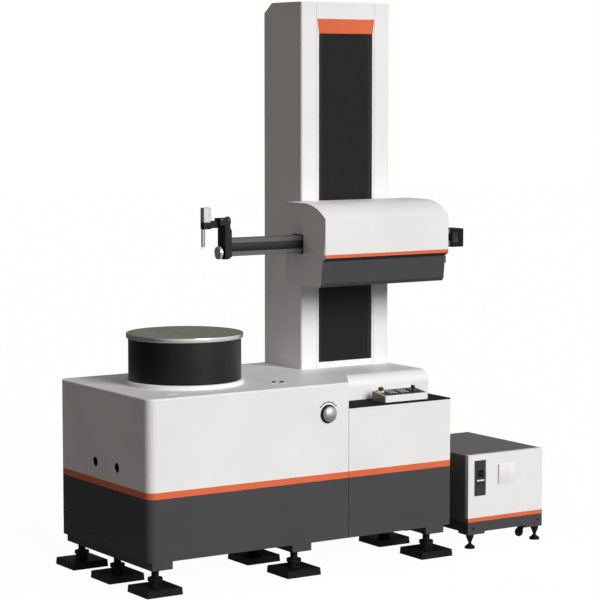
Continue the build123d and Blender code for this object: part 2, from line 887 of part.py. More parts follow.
with BuildPart() as column_cover_back:
    with BuildSketch(Plane.YZ.offset(column_left + sheet)):
        add(column_profile())
        add(column_profile(sheet), mode=Mode.SUBTRACT)
        with Locations((column_front_y + sheet / 2, (base_top_z + column_top_z) / 2)):
            Rectangle(sheet, column_top_z - base_top_z, mode=Mode.SUBTRACT)
        with Locations((column_front_y + column_depth / 2 - sheet, base_top_z + sheet / 2)):
            Rectangle(column_depth, sheet, mode=Mode.SUBTRACT)
    extrude(amount=column_width - 2 * sheet)
    fillet(column_cover_back.edges().filter_by(Axis.Z).group_by(Axis.Y)[0], column_corner_radius - sheet)
    front_edge = column_front_y + front_frame_thickness
    block(
        (column_x - frame_half_width, column_x + frame_half_width),
        (column_front_y, front_edge),
        (column_top_z - sheet, column_top_z),
        mode=Mode.SUBTRACT,
    )
column_cover_back.part.label = "column_cover_back"
export_step(column_cover_back.part, "parts/column_cover_back.step")

with BuildPart() as column_front_frame:
    with BuildSketch(Plane.XZ.offset(-column_front_y)):
        with Locations((column_x, (base_top_z + column_top_z) / 2)):
            Rectangle(2 * frame_half_width - seam, column_top_z - base_top_z)
        with BuildLine():
            Polyline(
                (column_x - window_half_width, window_bottom_z),
                (column_x + window_half_width, window_bottom_z),
                (column_x + window_half_width, window_top_z),
                (column_x + header_half_width, header_top_z),
                (column_x - header_half_width, header_top_z),
                (column_x - window_half_width, window_top_z),
                close=True,
            )
        make_face(mode=Mode.SUBTRACT)
    extrude(amount=-front_frame_thickness)
column_front_frame.part.label = "column_front_frame"
export_step(column_front_frame.part, "parts/column_front_frame.step")

with BuildPart() as column_header:
    with BuildSketch(Plane.YZ.offset(column_x - header_half_width)):
        with BuildLine():
            Polyline(
                (column_front_y + running_gap, header_top_z),
                (column_front_y + front_frame_thickness, header_top_z),
                (column_front_y + front_frame_thickness, window_top_z),
                (column_front_y + front_frame_thickness - header_lip, window_top_z),
                close=True,
            )
        make_face()
    extrude(amount=2 * header_half_width)
    with BuildSketch(Plane.XZ.offset(-column_front_y)):
        with BuildLine():
            Polyline(
                (column_x - window_half_width, window_top_z),
                (column_x + window_half_width, window_top_z),
                (column_x + header_half_width, header_top_z),
                (column_x - header_half_width, header_top_z),
                close=True,
            )
        make_face()
    extrude(amount=-front_frame_thickness, mode=Mode.INTERSECT)
column_header.part.label = "column_header"
export_step(column_header.part, "parts/column_header.step")

# Steel cover band down the window; the head's necks pass it on both sides
band_y = column_front_y + front_frame_thickness
with BuildPart() as cover_band:
    block(
        (column_x - cover_band_half_width, column_x + cover_band_half_width),
        (band_y, band_y + cover_band_thickness),
        (base_top_z, header_top_z + sheet),
    )
cover_band.part.label = "cover_band"
export_step(cover_band.part, "parts/cover_band.step")

# Carriage on the guide rails, with necks that reach forward to the arm guide
carriage_z = (carriage_bottom_z, carriage_bottom_z + carriage_height)
carriage_back_y = carriage_front_y + carriage_thickness
arm_guide_back_y = arm_y + arm_depth / 2 + arm_guide_wall
with BuildPart() as carriage:
    block(
        (column_x - carriage_width / 2, column_x + carriage_width / 2),
        (carriage_front_y, carriage_back_y),
        carriage_z,
    )
    for side in (-1, 1):
        neck_x = sorted(column_x + side * x for x in (neck_half_gap, neck_half_gap + neck_thickness))
        block(neck_x, (arm_guide_back_y, carriage_front_y), (neck_bottom_z, neck_bottom_z + neck_height))
        rail_x = column_x + side * guide_spacing / 2
        for block_z in (carriage_z[0], carriage_z[1] - guide_block_length):
            block(
                (rail_x - guide_block_width / 2, rail_x + guide_block_width / 2),
                (carriage_back_y, carriage_back_y + guide_block_depth),
                (block_z, block_z + guide_block_length),
            )
    with BuildSketch(Plane.XY.offset(carriage_z[0])):
        with Locations((column_x, casting_front_y - guide_rail_height / 2)):
            with GridLocations(guide_spacing, 1, 2, 1):
                Rectangle(guide_rail_width + 2 * guide_gap, guide_rail_height + 2 * guide_gap)
    extrude(amount=carriage_height, mode=Mode.SUBTRACT)
    drive_z = (arm_z - drive_block_height / 2, arm_z + drive_block_height / 2)
    block(
        (column_x - drive_block_width / 2, column_x + drive_block_width / 2),
        (carriage_back_y, drive_rod_y + drive_block_width / 2),
        drive_z,
    )
    with Locations((column_x, drive_rod_y, drive_z[1])):
        Hole(drive_rod_radius + running_gap, drive_block_height)
carriage.part.label = "carriage"
export_step(carriage.part, "parts/carriage.step")


def head_outline(inset=0.0):
    """Side view of the head: flat front, arched top, undercut and dark lower box."""
    with BuildSketch() as outline:
        with BuildLine():
            Line((head_front_y, trim_bottom_z), (head_front_y, head_brow_z))
            TangentArc(
                (head_crown_y, head_top_z),
                (head_front_y, head_brow_z),
                tangent=(-1, 0),
            )
            Polyline(
                (head_crown_y, head_top_z),
                (head_back_y, head_top_z),
                (head_back_y, head_bottom_z),
                (lower_chin_y, head_bottom_z),
                (lower_front_y, lower_front_z),
                (undercut_y, undercut_z),
                (head_front_y, trim_bottom_z),
            )
        make_face()
        if inset:
            offset(amount=-inset, kind=Kind.INTERSECTION, mode=Mode.REPLACE)
    return outline.sketch


def head_shell(from_z, to_z):
    """Folded sheet along the head between two heights, open at the back."""
    with BuildPart() as shell:
        with BuildSketch(Plane.YZ.offset(head_left + sheet)):
            add(head_outline())
            add(head_outline(sheet), mode=Mode.SUBTRACT)
            with Locations((head_back_y - sheet / 2, (head_bottom_z + head_top_z) / 2)):
                inner_height = head_top_z - head_bottom_z - 2 * sheet
                Rectangle(sheet, inner_height, mode=Mode.SUBTRACT)
            with Locations((0, (from_z + to_z) / 2)):
                Rectangle(4 * head_width, to_z - from_z, mode=Mode.INTERSECT)
        extrude(amount=head_width - 2 * sheet)
    return shell.part


with BuildPart() as head_cover:
    add(head_shell(trim_top_z, head_top_z + sheet))
head_cover.part.label = "head_cover"
export_step(head_cover.part, "parts/head_cover.step")

with BuildPart() as head_lower_cover:
    add(head_shell(head_bottom_z - sheet, trim_bottom_z))
head_lower_cover.part.label = "head_lower_cover"
export_step(head_lower_cover.part, "parts/head_lower_cover.step")

with BuildPart() as head_trim:
    block(
        (head_left + sheet, head_right - sheet),
        (head_front_y, head_front_y + trim_depth),
        (trim_bottom_z, trim_top_z),
    )
head_trim.part.label = "head_trim"
export_step(head_trim.part, "parts/head_trim.step")


def head_end(plate_x):
    """End plate with the slot that the arm runs through."""
    with BuildPart() as end:
        with BuildSketch(Plane.YZ.offset(plate_x)):
            add(head_outline())
            with Locations((arm_y, arm_z)):
                Rectangle(
                    arm_depth + 2 * arm_slot_gap,
                    arm_height + 2 * arm_slot_gap,
                    mode=Mode.SUBTRACT,
                )
        extrude(amount=sheet)
    return end.part


with BuildPart() as head_end_left:
    add(head_end(head_left))
head_end_left.part.label = "head_end_left"
export_step(head_end_left.part, "parts/head_end_left.step")

with BuildPart() as head_end_right:
    add(head_end(head_right - sheet))
    block(
        (head_right, head_right + latch_size[0]),
        (undercut_y, undercut_y + latch_size[1]),
        (latch_z - latch_size[2] / 2, latch_z + latch_size[2] / 2),
    )
head_end_right.part.label = "head_end_right"
export_step(head_end_right.part, "parts/head_end_right.step")

# Square tube that the arm slides in, from end plate to end plate
with BuildPart() as arm_guide:
    with BuildSketch(Plane.YZ.offset(head_left + sheet)):
        with Locations((arm_y, arm_z)):
            Rectangle(arm_depth + 2 * arm_guide_wall, arm_height + 2 * arm_guide_wall)
            Rectangle(arm_depth + 2 * guide_gap, arm_height + 2 * guide_gap, mode=Mode.SUBTRACT)
    extrude(amount=head_width - 2 * sheet)
arm_guide.part.label = "arm_guide"
export_step(arm_guide.part, "parts/arm_guide.step")

# Arm: beam with a groove along its front and back
with BuildPart() as arm:
    with BuildSketch(Plane.YZ.offset(arm_left_x)):
        with Locations((arm_y, arm_z)):
            Rectangle(arm_depth, arm_height)
            with GridLocations(arm_depth, 1, 2, 1):
                Rectangle(2 * arm_groove_depth, arm_groove_height, mode=Mode.SUBTRACT)
            hollow_depth = arm_depth - 2 * (arm_groove_depth + arm_wall)
            Rectangle(hollow_depth, arm_height - 2 * arm_wall, mode=Mode.SUBTRACT)
    extrude(amount=arm_right_x - arm_left_x)
    chamfer(arm.edges().filter_by(Axis.X).group_by(Axis.Z)[0], arm_edge)
    chamfer(arm.edges().filter_by(Axis.X).group_by(Axis.Z)[-1], arm_edge)
arm.part.label = "arm"
export_step(arm.part, "parts/arm.step")

with BuildPart() as arm_end_block:
    end_y = (arm_y - end_block_depth / 2, arm_y + end_block_depth / 2)
    end_middle_z = arm_z - end_block_drop
    end_z = (end_middle_z - end_block_height / 2, end_middle_z + end_block_height / 2)
    plate_start = arm_right_x + end_block_length
    block((arm_right_x, plate_start), end_y, end_z)
    chamfer(arm_end_block.faces().sort_by(Axis.X)[0].edges(), end_block_chamfer)
    block(
        (plate_start, plate_start + seam),
        (end_y[0] + seam, end_y[1] - seam),
        (end_z[0] + seam, end_z[1] - seam),
    )
    block((plate_start + seam, plate_start + end_plate_length), end_y, end_z)
arm_end_block.part.label = "arm_end_block"
export_step(arm_end_block.part, "parts/arm_end_block.step")

# Bracket on the arm's left end, with the pivot block of the detector holder
bracket_x = (arm_left_x - bracket_thickness, arm_left_x)
bracket_y = (bracket_front_y, bracket_front_y + bracket_depth)
with BuildPart() as probe_bracket:
    block(bracket_x, bracket_y, (bracket_bottom_z, bracket_top_z))
    top_right = probe_bracket.edges().filter_by(Axis.Y).group_by(Axis.Z)[-1].sort_by(Axis.X)[-1]
    chamfer(top_right, bracket_top_chamfer, bracket_top_chamfer / 2)
    foot_edges = probe_bracket.faces().sort_by(Axis.Z)[0].edges()
    chamfer([foot_edges.sort_by(Axis.X)[-1], foot_edges.sort_by(Axis.Y)[0]], bracket_foot_chamfer)
    block(pivot_block_x, pivot_block_y, pivot_block_z)
    with Locations(Location((pivot_block_x[0], detector_y, pivot_z), (0, 90, 0))):
        Hole(pivot_shaft_radius + running_gap)
    with Locations(Location((bracket_x[0], span(*bracket_y)[0], clamp_knob_z), (0, 90, 0))):
        Cylinder(clamp_stem_radius + running_gap, bracket_thickness, mode=Mode.SUBTRACT)
probe_bracket.part.label = "probe_bracket"
export_step(probe_bracket.part, "parts/probe_bracket.step")

with BuildPart() as clamp_knob:
    clamp_plane = Plane.YZ.offset(bracket_x[0] - running_gap - clamp_hub_depth)
    clamp_centre = (span(*bracket_y)[0], clamp_knob_z)
    with BuildSketch(clamp_plane):
        with Locations(clamp_centre):
            Circle(clamp_knob_radius)
    extrude(amount=-clamp_knob_depth)
    chamfer(clamp_knob.edges().filter_by(GeomType.CIRCLE), clamp_knob_edge)
    with BuildSketch(clamp_plane):
        with Locations(clamp_centre):
            Circle(clamp_hub_radius)
    extrude(amount=clamp_hub_depth)
    with BuildSketch(clamp_plane.offset(clamp_hub_depth)):
        with Locations(clamp_centre):
            Circle(clamp_stem_radius)
    extrude(amount=bracket_thickness / 2 - 2 * running_gap)
clamp_knob.part.label = "clamp_knob"
export_step(clamp_knob.part, "parts/clamp_knob.step")

# Holder link with its pivot shaft, swinging about the X axis
holder_y = (detector_y - detector_depth / 2, detector_y + detector_depth / 2)
link_right_x = pivot_block_x[0] - running_gap
knob_left_x = pivot_block_x[1] + running_gap
with BuildPart() as detector_holder:
    block(detector_x, holder_y, (holder_bottom_z, holder_top_z))
    fillet(detector_holder.edges().filter_by(Axis.Z).group_by(Axis.X)[0], detector_edge_radius)
    link_y = (detector_y - link_depth / 2, detector_y + link_depth / 2)
    block((detector_x[1], link_right_x), link_y, link_z)
    with BuildSketch(Plane.YZ.offset(link_right_x)):
        with Locations((detector_y, pivot_z)):
            Circle(pivot_shaft_radius)
    extrude(amount=knob_left_x - link_right_x)
    with Locations((stylus_x, detector_y, holder_bottom_z)):
        Cylinder(stylus_neck_radius + stylus_neck_gap, 2 * stylus_neck_length, mode=Mode.SUBTRACT)
detector_holder.part.label = "detector_holder"
export_step(detector_holder.part, "parts/detector_holder.step")

with BuildPart() as swivel_knob:
    with BuildSketch(Plane.YZ.offset(knob_left_x)):
        with Locations((detector_y, pivot_z)):
            Circle(swivel_knob_radius)
            with PolarLocations(swivel_knob_radius, knurl_count):
                Circle(knurl_radius, mode=Mode.SUBTRACT)
    extrude(amount=swivel_knob_width)
swivel_knob.part.label = "swivel_knob"
export_step(swivel_knob.part, "parts/swivel_knob.step")

with BuildPart() as detector_body:
    block(detector_x, holder_y, (holder_top_z, detector_top_z))
    fillet(detector_body.edges().filter_by(Axis.Z), detector_edge_radius)
    chamfer(detector_body.faces().sort_by(Axis.Z)[-1].edges(), detector_top_chamfer)
detector_body.part.label = "detector_body"
export_step(detector_body.part, "parts/detector_body.step")

# Stylus: tube on a thin flexure neck, cranked needle and ball
stylus_tube_top_z = holder_bottom_z - stylus_tube_gap
with BuildPart() as stylus:
    with BuildSketch(Plane.XY.offset(stylus_tube_bottom_z)):
        with Locations((stylus_x, detector_y)):
            Circle(stylus_tube_radius)
    extrude(amount=stylus_tube_top_z - stylus_tube_bottom_z)
    chamfer(stylus.edges().filter_by(GeomType.CIRCLE), edge_break)
    with BuildSketch(Plane.XY.offset(stylus_tube_top_z)):
        with Locations((stylus_x, detector_y)):
            Circle(stylus_neck_radius)
    extrude(amount=stylus_neck_length - stylus_tube_gap)
    needle_top = Vector(stylus_x, detector_y, stylus_tube_bottom_z)
    needle = Vector(stylus_tip_x, detector_y, stylus_tip_z) - needle_top
    with BuildSketch(Plane(origin=needle_top, z_dir=needle)):
        Circle(stylus_needle_radius)
    extrude(amount=needle.length)
    with BuildSketch(Plane(origin=needle_top, z_dir=needle)):
        Circle(stylus_needle_radius)
    extrude(amount=-stylus_needle_seat)
    with Locations((stylus_tip_x, detector_y, stylus_tip_z)):
        Sphere(stylus_ball_radius)
stylus.part.label = "stylus"
export_step(stylus.part, "parts/stylus.step")

# Remote box: wedge with a sloping key face, resting on the tray
remote_x = (remote_left_x, remote_left_x + remote_width)
remote_top = Plane(
    origin=(0, remote_front_y, tray_top_z + remote_front_height),
    x_dir=(1, 0, 0),
    z_dir=(0, -math.sin(math.radians(remote_slope)), math.cos(math.radians(remote_slope))),
)


def on_remote(y):
    """Distance up the remote box's face at a position y."""
    return (y - remote_front_y) / math.cos(math.radians(remote_slope))


with BuildPart() as remote_case:
    with BuildSketch(Plane.YZ.offset(remote_x[0])):
        with BuildLine():
            Polyline(
                (remote_front_y, tray_top_z),
                (remote_front_y + remote_depth, tray_top_z),
                (remote_front_y + remote_depth, tray_top_z + remote_back_height),
                (remote_front_y, tray_top_z + remote_front_height),
                close=True,
            )
        make_face()
    extrude(amount=remote_width)
    fillet(remote_case.edges().filter_by(Axis.Z), remote_edge_radius)
    fillet(remote_case.faces().sort_by(Axis.Z)[-1].edges(), remote_top_radius)
    with BuildSketch(remote_top):
        with Locations((stop_x, on_remote(stop_y))):
            Circle(stop_stem_radius + running_gap)
        with Locations((joystick_x, on_remote(joystick_y))):
            Circle(joystick_well_radius)
    extrude(amount=-remote_well_depth, mode=Mode.SUBTRACT)
    with BuildSketch(remote_top):
        with Locations((stop_x, on_remote(stop_y))):
            Circle(stop_collar_radius)
            Circle(stop_stem_radius + running_gap, mode=Mode.SUBTRACT)
    extrude(amount=stop_collar_height)
remote_case.part.label = "remote_case"
export_step(remote_case.part, "parts/remote_case.step")

with BuildPart() as remote_keys:
    key_y = on_remote(remote_front_y + remote_depth / 2)
    with BuildSketch(remote_top):
        for block_x in key_block_x:
            with Locations((block_x, key_y)):
                with GridLocations(key_pitch, key_pitch, key_columns, key_rows):
                    Rectangle(key_size, key_size)
    extrude(amount=key_height)
remote_keys.part.label = "remote_keys"
export_step(remote_keys.part, "parts/remote_keys.step")

with BuildPart() as stop_button:
    with BuildSketch(remote_top.offset(stop_collar_height + stop_travel + running_gap)):
        with Locations((stop_x, on_remote(stop_y))):
            Circle(stop_radius)
    extrude(amount=stop_head_height)
    fillet(stop_button.faces().sort_by(Axis.Z)[-1].edges(), stop_head_edge)
    with BuildSketch(remote_top.offset(stop_collar_height + stop_travel + running_gap)):
        with Locations((stop_x, on_remote(stop_y))):
            Circle(stop_stem_radius)
    extrude(amount=-remote_well_depth)
stop_button.part.label = "stop_button"
export_step(stop_button.part, "parts/stop_button.step")

# Joystick in a gimbal ring: the ring tips about X, the stick about Y inside it
stick_centre = (joystick_x, on_remote(joystick_y))
pin = remote_top.from_local_coords(Vector(*stick_centre, -gimbal_drop))
with BuildPart() as joystick_gimbal:
    with BuildSketch(remote_top.offset(-gimbal_drop - gimbal_height / 2)):
        with Locations(stick_centre):
            Circle(gimbal_radius)
            Circle(gimbal_radius - gimbal_width, mode=Mode.SUBTRACT)
    extrude(amount=gimbal_height)
    for side in (-1, 1):
        pin_end_x = joystick_x + side * (joystick_well_radius - running_gap)
        with BuildSketch(Plane.YZ.offset(pin_end_x)):
            with Locations((pin.Y, pin.Z)):
                Circle(gimbal_pin_radius)
        extrude(amount=-side * gimbal_pin_length)
joystick_gimbal.part.label = "joystick_gimbal"
export_step(joystick_gimbal.part, "parts/joystick_gimbal.step")

with BuildPart() as joystick:
    with BuildSketch(remote_top.offset(-gimbal_drop - joystick_hub_height / 2)):
        with Locations(stick_centre):
            Circle(gimbal_radius - gimbal_width - running_gap)
    extrude(amount=joystick_hub_height)
    with BuildSketch(remote_top.offset(-gimbal_drop)):
        with Locations(stick_centre):
            Circle(joystick_stem_radius)
    extrude(amount=joystick_height)
    with BuildSketch(remote_top.offset(joystick_height - gimbal_drop - joystick_grip_length)):
        with Locations(stick_centre):
            Circle(joystick_grip_radius)
    extrude(amount=joystick_grip_length)
    chamfer(joystick.faces().sort_by(Axis.Z)[-1].edges(), joystick_grip_edge)
joystick.part.label = "joystick"
export_step(joystick.part, "parts/joystick.step")

# Control cabinet: shell, door, band, base, feet and casters
cabinet_x = (cabinet_left_x, cabinet_right_x)
with BuildPart() as cabinet_shell:
    block(cabinet_x, (cabinet_door_y, cabinet_back_y), (cabinet_band_bottom_z, cabinet_top_z))
    fillet(cabinet_shell.faces().sort_by(Axis.Z)[-1].edges().filter_by(Axis.Y), cabinet_sheet)
    block(
        (cabinet_x[0] + cabinet_sheet, cabinet_x[1] - cabinet_sheet),
        (cabinet_door_y, cabinet_back_y - cabinet_sheet),
        (cabinet_band_bottom_z, cabinet_top_z - cabinet_sheet),
        mode=Mode.SUBTRACT,
    )
cabinet_shell.part.label = "cabinet_shell"
export_step(cabinet_shell.part, "parts/cabinet_shell.step")

with BuildPart() as cabinet_door:
    block(cabinet_x, (cabinet_front_y, cabinet_door_y), (cabinet_band_top_z, cabinet_top_z))
    chamfer(cabinet_door.faces().sort_by(Axis.Y)[0].edges(), edge_break)
    block(panel_x, (cabinet_front_y, cabinet_front_y + panel_depth), panel_z, mode=Mode.SUBTRACT)
    block(
        (pull_slot_x - pull_slot_width / 2, pull_slot_x + pull_slot_width / 2),
        (cabinet_front_y, cabinet_front_y + pull_slot_depth),
        pull_slot_z,
        mode=Mode.SUBTRACT,
    )
    block(plate_x, (cabinet_front_y - plate_rise, cabinet_front_y), plate_z)
    with BuildSketch(Plane.XZ.offset(-cabinet_front_y)):
        with Locations((toggle_x, toggle_z)):
            Rectangle(toggle_width, toggle_opening_height)
    extrude(amount=-breaker_depth, mode=Mode.SUBTRACT)
cabinet_door.part.label = "cabinet_door"
export_step(cabinet_door.part, "parts/cabinet_door.step")

with BuildPart() as cabinet_band:
    block(cabinet_x, (cabinet_front_y, cabinet_door_y), (cabinet_band_bottom_z, cabinet_band_top_z))
cabinet_band.part.label = "cabinet_band"
export_step(cabinet_band.part, "parts/cabinet_band.step")

with BuildPart() as cabinet_base:
    block(
        cabinet_x,
        (cabinet_front_y, cabinet_back_y),
        (cabinet_skirt_bottom_z, cabinet_band_bottom_z),
    )
    for block_x in (
        (cabinet_x[0], cabinet_x[0] + foot_block_size[0]),
        (cabinet_x[1] - foot_block_size[0], cabinet_x[1]),
    ):
        for block_y in (
            (cabinet_front_y, cabinet_front_y + foot_block_size[1]),
            (cabinet_back_y - foot_block_size[1], cabinet_back_y),
        ):
            block(block_x, block_y, (foot_block_bottom_z, cabinet_skirt_bottom_z))
    for hole_x in skirt_hole_x:
        with Locations(Location((hole_x, cabinet_front_y, skirt_hole_z), (90, 0, 0))):
            Cylinder(skirt_hole_radius, 2 * skirt_hole_depth, mode=Mode.SUBTRACT)
cabinet_base.part.label = "cabinet_base"
export_step(cabinet_base.part, "parts/cabinet_base.step")

with BuildPart() as cabinet_electronics:
    chassis_x = (cabinet_x[0] + chassis_margin, cabinet_x[1] - chassis_margin)
    chassis_y = (cabinet_door_y + chassis_margin, cabinet_back_y - chassis_margin)
    chassis_z = (cabinet_band_bottom_z, cabinet_band_bottom_z + chassis_thickness)
    block(chassis_x, chassis_y, chassis_z)
    module_pitch = (chassis_x[1] - chassis_x[0]) / module_count
    for module in range(module_count):
        module_x = chassis_x[0] + module_gap / 2 + module_pitch * module
        block(
            (module_x, module_x + module_pitch - module_gap),
            (chassis_y[0] + module_gap, chassis_y[1] - module_gap),
            (chassis_z[1], chassis_z[1] + module_height),
        )
cabinet_electronics.part.label = "cabinet_electronics"
export_step(cabinet_electronics.part, "parts/cabinet_electronics.step")

panel_front_y = cabinet_front_y + panel_setback
with BuildPart() as switch_panel:
    block(
        (panel_x[0] + running_gap, panel_x[1] - running_gap),
        (panel_front_y, cabinet_front_y + panel_depth),
        (panel_z[0] + running_gap, panel_z[1] - running_gap),
    )
    with BuildSketch(Plane.XZ.offset(-panel_front_y)):
        with Locations((toggle_x, toggle_z)):
            Rectangle(*breaker_size)
        fillet(vertices(), breaker_corner)
    extrude(amount=breaker_rise)
    with BuildSketch(Plane.XZ.offset(-cabinet_front_y)):
        with Locations((toggle_x, toggle_z)):
            Rectangle(toggle_width, toggle_opening_height)
    extrude(amount=breaker_depth, both=True, mode=Mode.SUBTRACT)
    lamp_x = (toggle_x - breaker_size[0] / 2, toggle_x + breaker_size[0] / 2)
    block(lamp_x, (panel_front_y - lamp_strip_rise, panel_front_y), lamp_strip_z)
    block(lamp_x, (panel_front_y, panel_front_y + outlet_depth), outlet_z, mode=Mode.SUBTRACT)
switch_panel.part.label = "switch_panel"
export_step(switch_panel.part, "parts/switch_panel.step")

with BuildPart() as breaker_toggle:
    toggle_axis_y = cabinet_front_y + toggle_axis_setback
    toggle_tip_y = cabinet_front_y - toggle_reach
    with BuildSketch(Plane.YZ.offset(toggle_x - toggle_width / 2 + running_gap)):
        with Locations((toggle_axis_y, toggle_z)):
            Circle(toggle_hub_radius)
        with BuildLine():
            Polyline(
                (toggle_axis_y, toggle_z - toggle_root_height / 2),
                (toggle_tip_y, toggle_z - toggle_tip_height / 2),
                (toggle_tip_y, toggle_z + toggle_tip_height / 2),
                (toggle_axis_y, toggle_z + toggle_root_height / 2),
                close=True,
            )
        make_face()
    extrude(amount=toggle_width - 2 * running_gap)
breaker_toggle.part.label = "breaker_toggle"
export_step(breaker_toggle.part, "parts/breaker_toggle.step")

with BuildPart() as levelling_foot:
    with BuildSketch(Plane.XZ):
        with BuildLine():
            Polyline(
                (0, 0),
                (cabinet_foot_pad_radius, 0),
                (cabinet_foot_pad_radius, cabinet_foot_pad_thickness),
                (cabinet_foot_dish_radius, cabinet_foot_dish_z),
                (cabinet_foot_neck_radius, cabinet_foot_neck_z[0]),
                (cabinet_foot_neck_radius, cabinet_foot_neck_z[1]),
                (cabinet_foot_nut_radius, foot_block_bottom_z - cabinet_foot_nut_height),
                (cabinet_foot_nut_radius, foot_block_bottom_z),
                (0, foot_block_bottom_z),
                close=True,
            )
        make_face()
    revolve(axis=Axis.Z)

with BuildPart() as cabinet_feet:
    with Locations(*[(x, y) for x in cabinet_foot_x for y in cabinet_foot_y]):
        add(levelling_foot.part)
cabinet_feet.part.label = "cabinet_feet"
export_step(cabinet_feet.part, "parts/cabinet_feet.step")

for caster, swivel_y in zip(("front", "rear"), caster_y):
    axle_x = caster_x - caster_trail
    with BuildPart() as caster_fork:
        plate_z = cabinet_skirt_bottom_z - running_gap
        with BuildSketch(Plane.XY.offset(plate_z)):
            with Locations((caster_x, swivel_y)):
                Circle(caster_plate_radius)
        extrude(amount=-caster_plate_thickness)
        cheek_in = caster_wheel_width / 2 + caster_cheek_gap
        cheek_out = cheek_in + caster_cheek_thickness
        for side in (-1, 1):
            cheek_y = sorted((swivel_y + side * cheek_in, swivel_y + side * cheek_out))
            with BuildSketch(Plane.XZ.offset(-cheek_y[1])):
                with BuildLine():
                    Polyline(
                        (axle_x - caster_hub_radius, caster_axle_z),
                        (axle_x, caster_axle_z - caster_hub_radius),
                        (caster_x + caster_cheek_root, plate_z - caster_plate_thickness),
                        (caster_x - caster_cheek_root, plate_z - caster_plate_thickness),
                        close=True,
                    )
                make_face()
                with Locations((axle_x, caster_axle_z)):
                    Circle(caster_hub_radius)
            extrude(amount=cheek_y[1] - cheek_y[0])
        with Locations(Location((axle_x, swivel_y, caster_axle_z), (90, 0, 0))):
            Cylinder(caster_axle_radius, 2 * cheek_in)
    caster_fork.part.label = f"caster_fork_{caster}"
    export_step(caster_fork.part, f"parts/caster_fork_{caster}.step")

    with BuildPart() as caster_wheel:
        with Locations(Location((axle_x, swivel_y, caster_axle_z), (90, 0, 0))):
            Cylinder(caster_wheel_radius, caster_wheel_width)
            Cylinder(caster_axle_radius + running_gap, caster_wheel_width, mode=Mode.SUBTRACT)
        tread_edges = caster_wheel.edges().filter_by(GeomType.CIRCLE).group_by(SortBy.RADIUS)[-1]
        chamfer(tread_edges, caster_tread_edge)
    caster_wheel.part.label = f"caster_wheel_{caster}"
    export_step(caster_wheel.part, f"parts/caster_wheel_{caster}.step")
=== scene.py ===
import math

import bpy
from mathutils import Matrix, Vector


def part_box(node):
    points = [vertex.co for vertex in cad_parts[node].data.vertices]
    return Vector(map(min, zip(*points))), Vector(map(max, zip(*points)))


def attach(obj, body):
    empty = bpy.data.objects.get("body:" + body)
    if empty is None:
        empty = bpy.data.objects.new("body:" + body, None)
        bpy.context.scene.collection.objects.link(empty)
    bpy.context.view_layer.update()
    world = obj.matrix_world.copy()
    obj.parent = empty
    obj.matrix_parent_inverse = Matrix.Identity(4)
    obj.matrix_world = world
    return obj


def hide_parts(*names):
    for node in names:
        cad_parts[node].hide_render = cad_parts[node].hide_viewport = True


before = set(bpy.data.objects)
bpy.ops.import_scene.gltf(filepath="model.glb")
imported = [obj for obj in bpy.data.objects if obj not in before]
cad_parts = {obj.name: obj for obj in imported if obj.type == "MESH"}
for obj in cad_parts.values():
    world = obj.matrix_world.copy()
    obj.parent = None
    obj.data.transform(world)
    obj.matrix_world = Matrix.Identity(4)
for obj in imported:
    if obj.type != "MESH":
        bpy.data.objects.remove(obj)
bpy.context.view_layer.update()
MM = 0.001


def deselect_all():
    bpy.ops.object.select_all(action="DESELECT")


deselect_all()

# Finishes


def linear(hex_colour):
    """An sRGB hex colour as linear RGBA."""
    channels = [int(hex_colour[i : i + 2], 16) / 255 for i in (1, 3, 5)]
    opened = [c / 12.92 if c <= 0.04045 else ((c + 0.055) / 1.055) ** 2.4 for c in channels]
    return (*opened, 1.0)


def add_node(tree, kind, settings=None, links=None):
    """A node with its own settings and socket values, and what is plugged into it."""
    node = tree.nodes.new(kind)
    for name, value in (settings or {}).items():
        if isinstance(name, int) or name in node.inputs:
            node.inputs[name].default_value = value
        else:
            setattr(node, name, value)
    for name, source in (links or {}).items():
        tree.links.new(source, node.inputs[name])
    return node


def new_finish(name, specular=0.5, metallic=0.0):
    """An empty material with its shader, output and object-space coordinates."""
    material = bpy.data.materials.new(name)
    material.use_nodes = True
    tree = material.node_tree
    tree.nodes.clear()
    shader = add_node(
        tree,
        "ShaderNodeBsdfPrincipled",
        {"Specular IOR Level": specular, "Metallic": metallic},
    )
    add_node(tree, "ShaderNodeOutputMaterial", links={"Surface": shader.outputs[0]})
    place = add_node(tree, "ShaderNodeTexCoord").outputs["Object"]
    return material, tree, shader, place


# Most of a noise's values lie between these two
NOISE_LOW, NOISE_HIGH = 0.3, 0.7


def set_colour(tree, shader, factor, dark, light):
    """Base colour that runs from dark to light over the middle of the factor's range."""
    ramp = add_node(tree, "ShaderNodeValToRGB", links={"Fac": factor})
    ends = ramp.color_ramp.elements
    ends[0].position, ends[0].color = NOISE_LOW, linear(dark)
    ends[1].position, ends[1].color = NOISE_HIGH, linear(light)
    tree.links.new(ramp.outputs["Color"], shader.inputs["Base Color"])


def set_roughness(tree, shader, factor, low, high):
    """Roughness that runs from low to high over the middle of the factor's range."""
    settings = {"From Min": NOISE_LOW, "From Max": NOISE_HIGH, "To Min": low, "To Max": high}
    scaled = add_node(tree, "ShaderNodeMapRange", settings, {"Value": factor})
    tree.links.new(scaled.outputs["Result"], shader.inputs["Roughness"])


def noise(tree, place, size_mm, detail=2.0, stretch=(1, 1, 1)):
    """Noise whose lumps are size_mm across, drawn out along an axis where stretch is under 1."""
    mapping = add_node(tree, "ShaderNodeMapping", {"Scale": stretch}, {"Vector": place})
    settings = {"Scale": 1000 / size_mm, "Detail": detail, "Roughness": 0.5}
    texture = add_node(tree, "ShaderNodeTexNoise", settings, {"Vector": mapping.outputs[0]})
    return texture.outputs["Fac"]


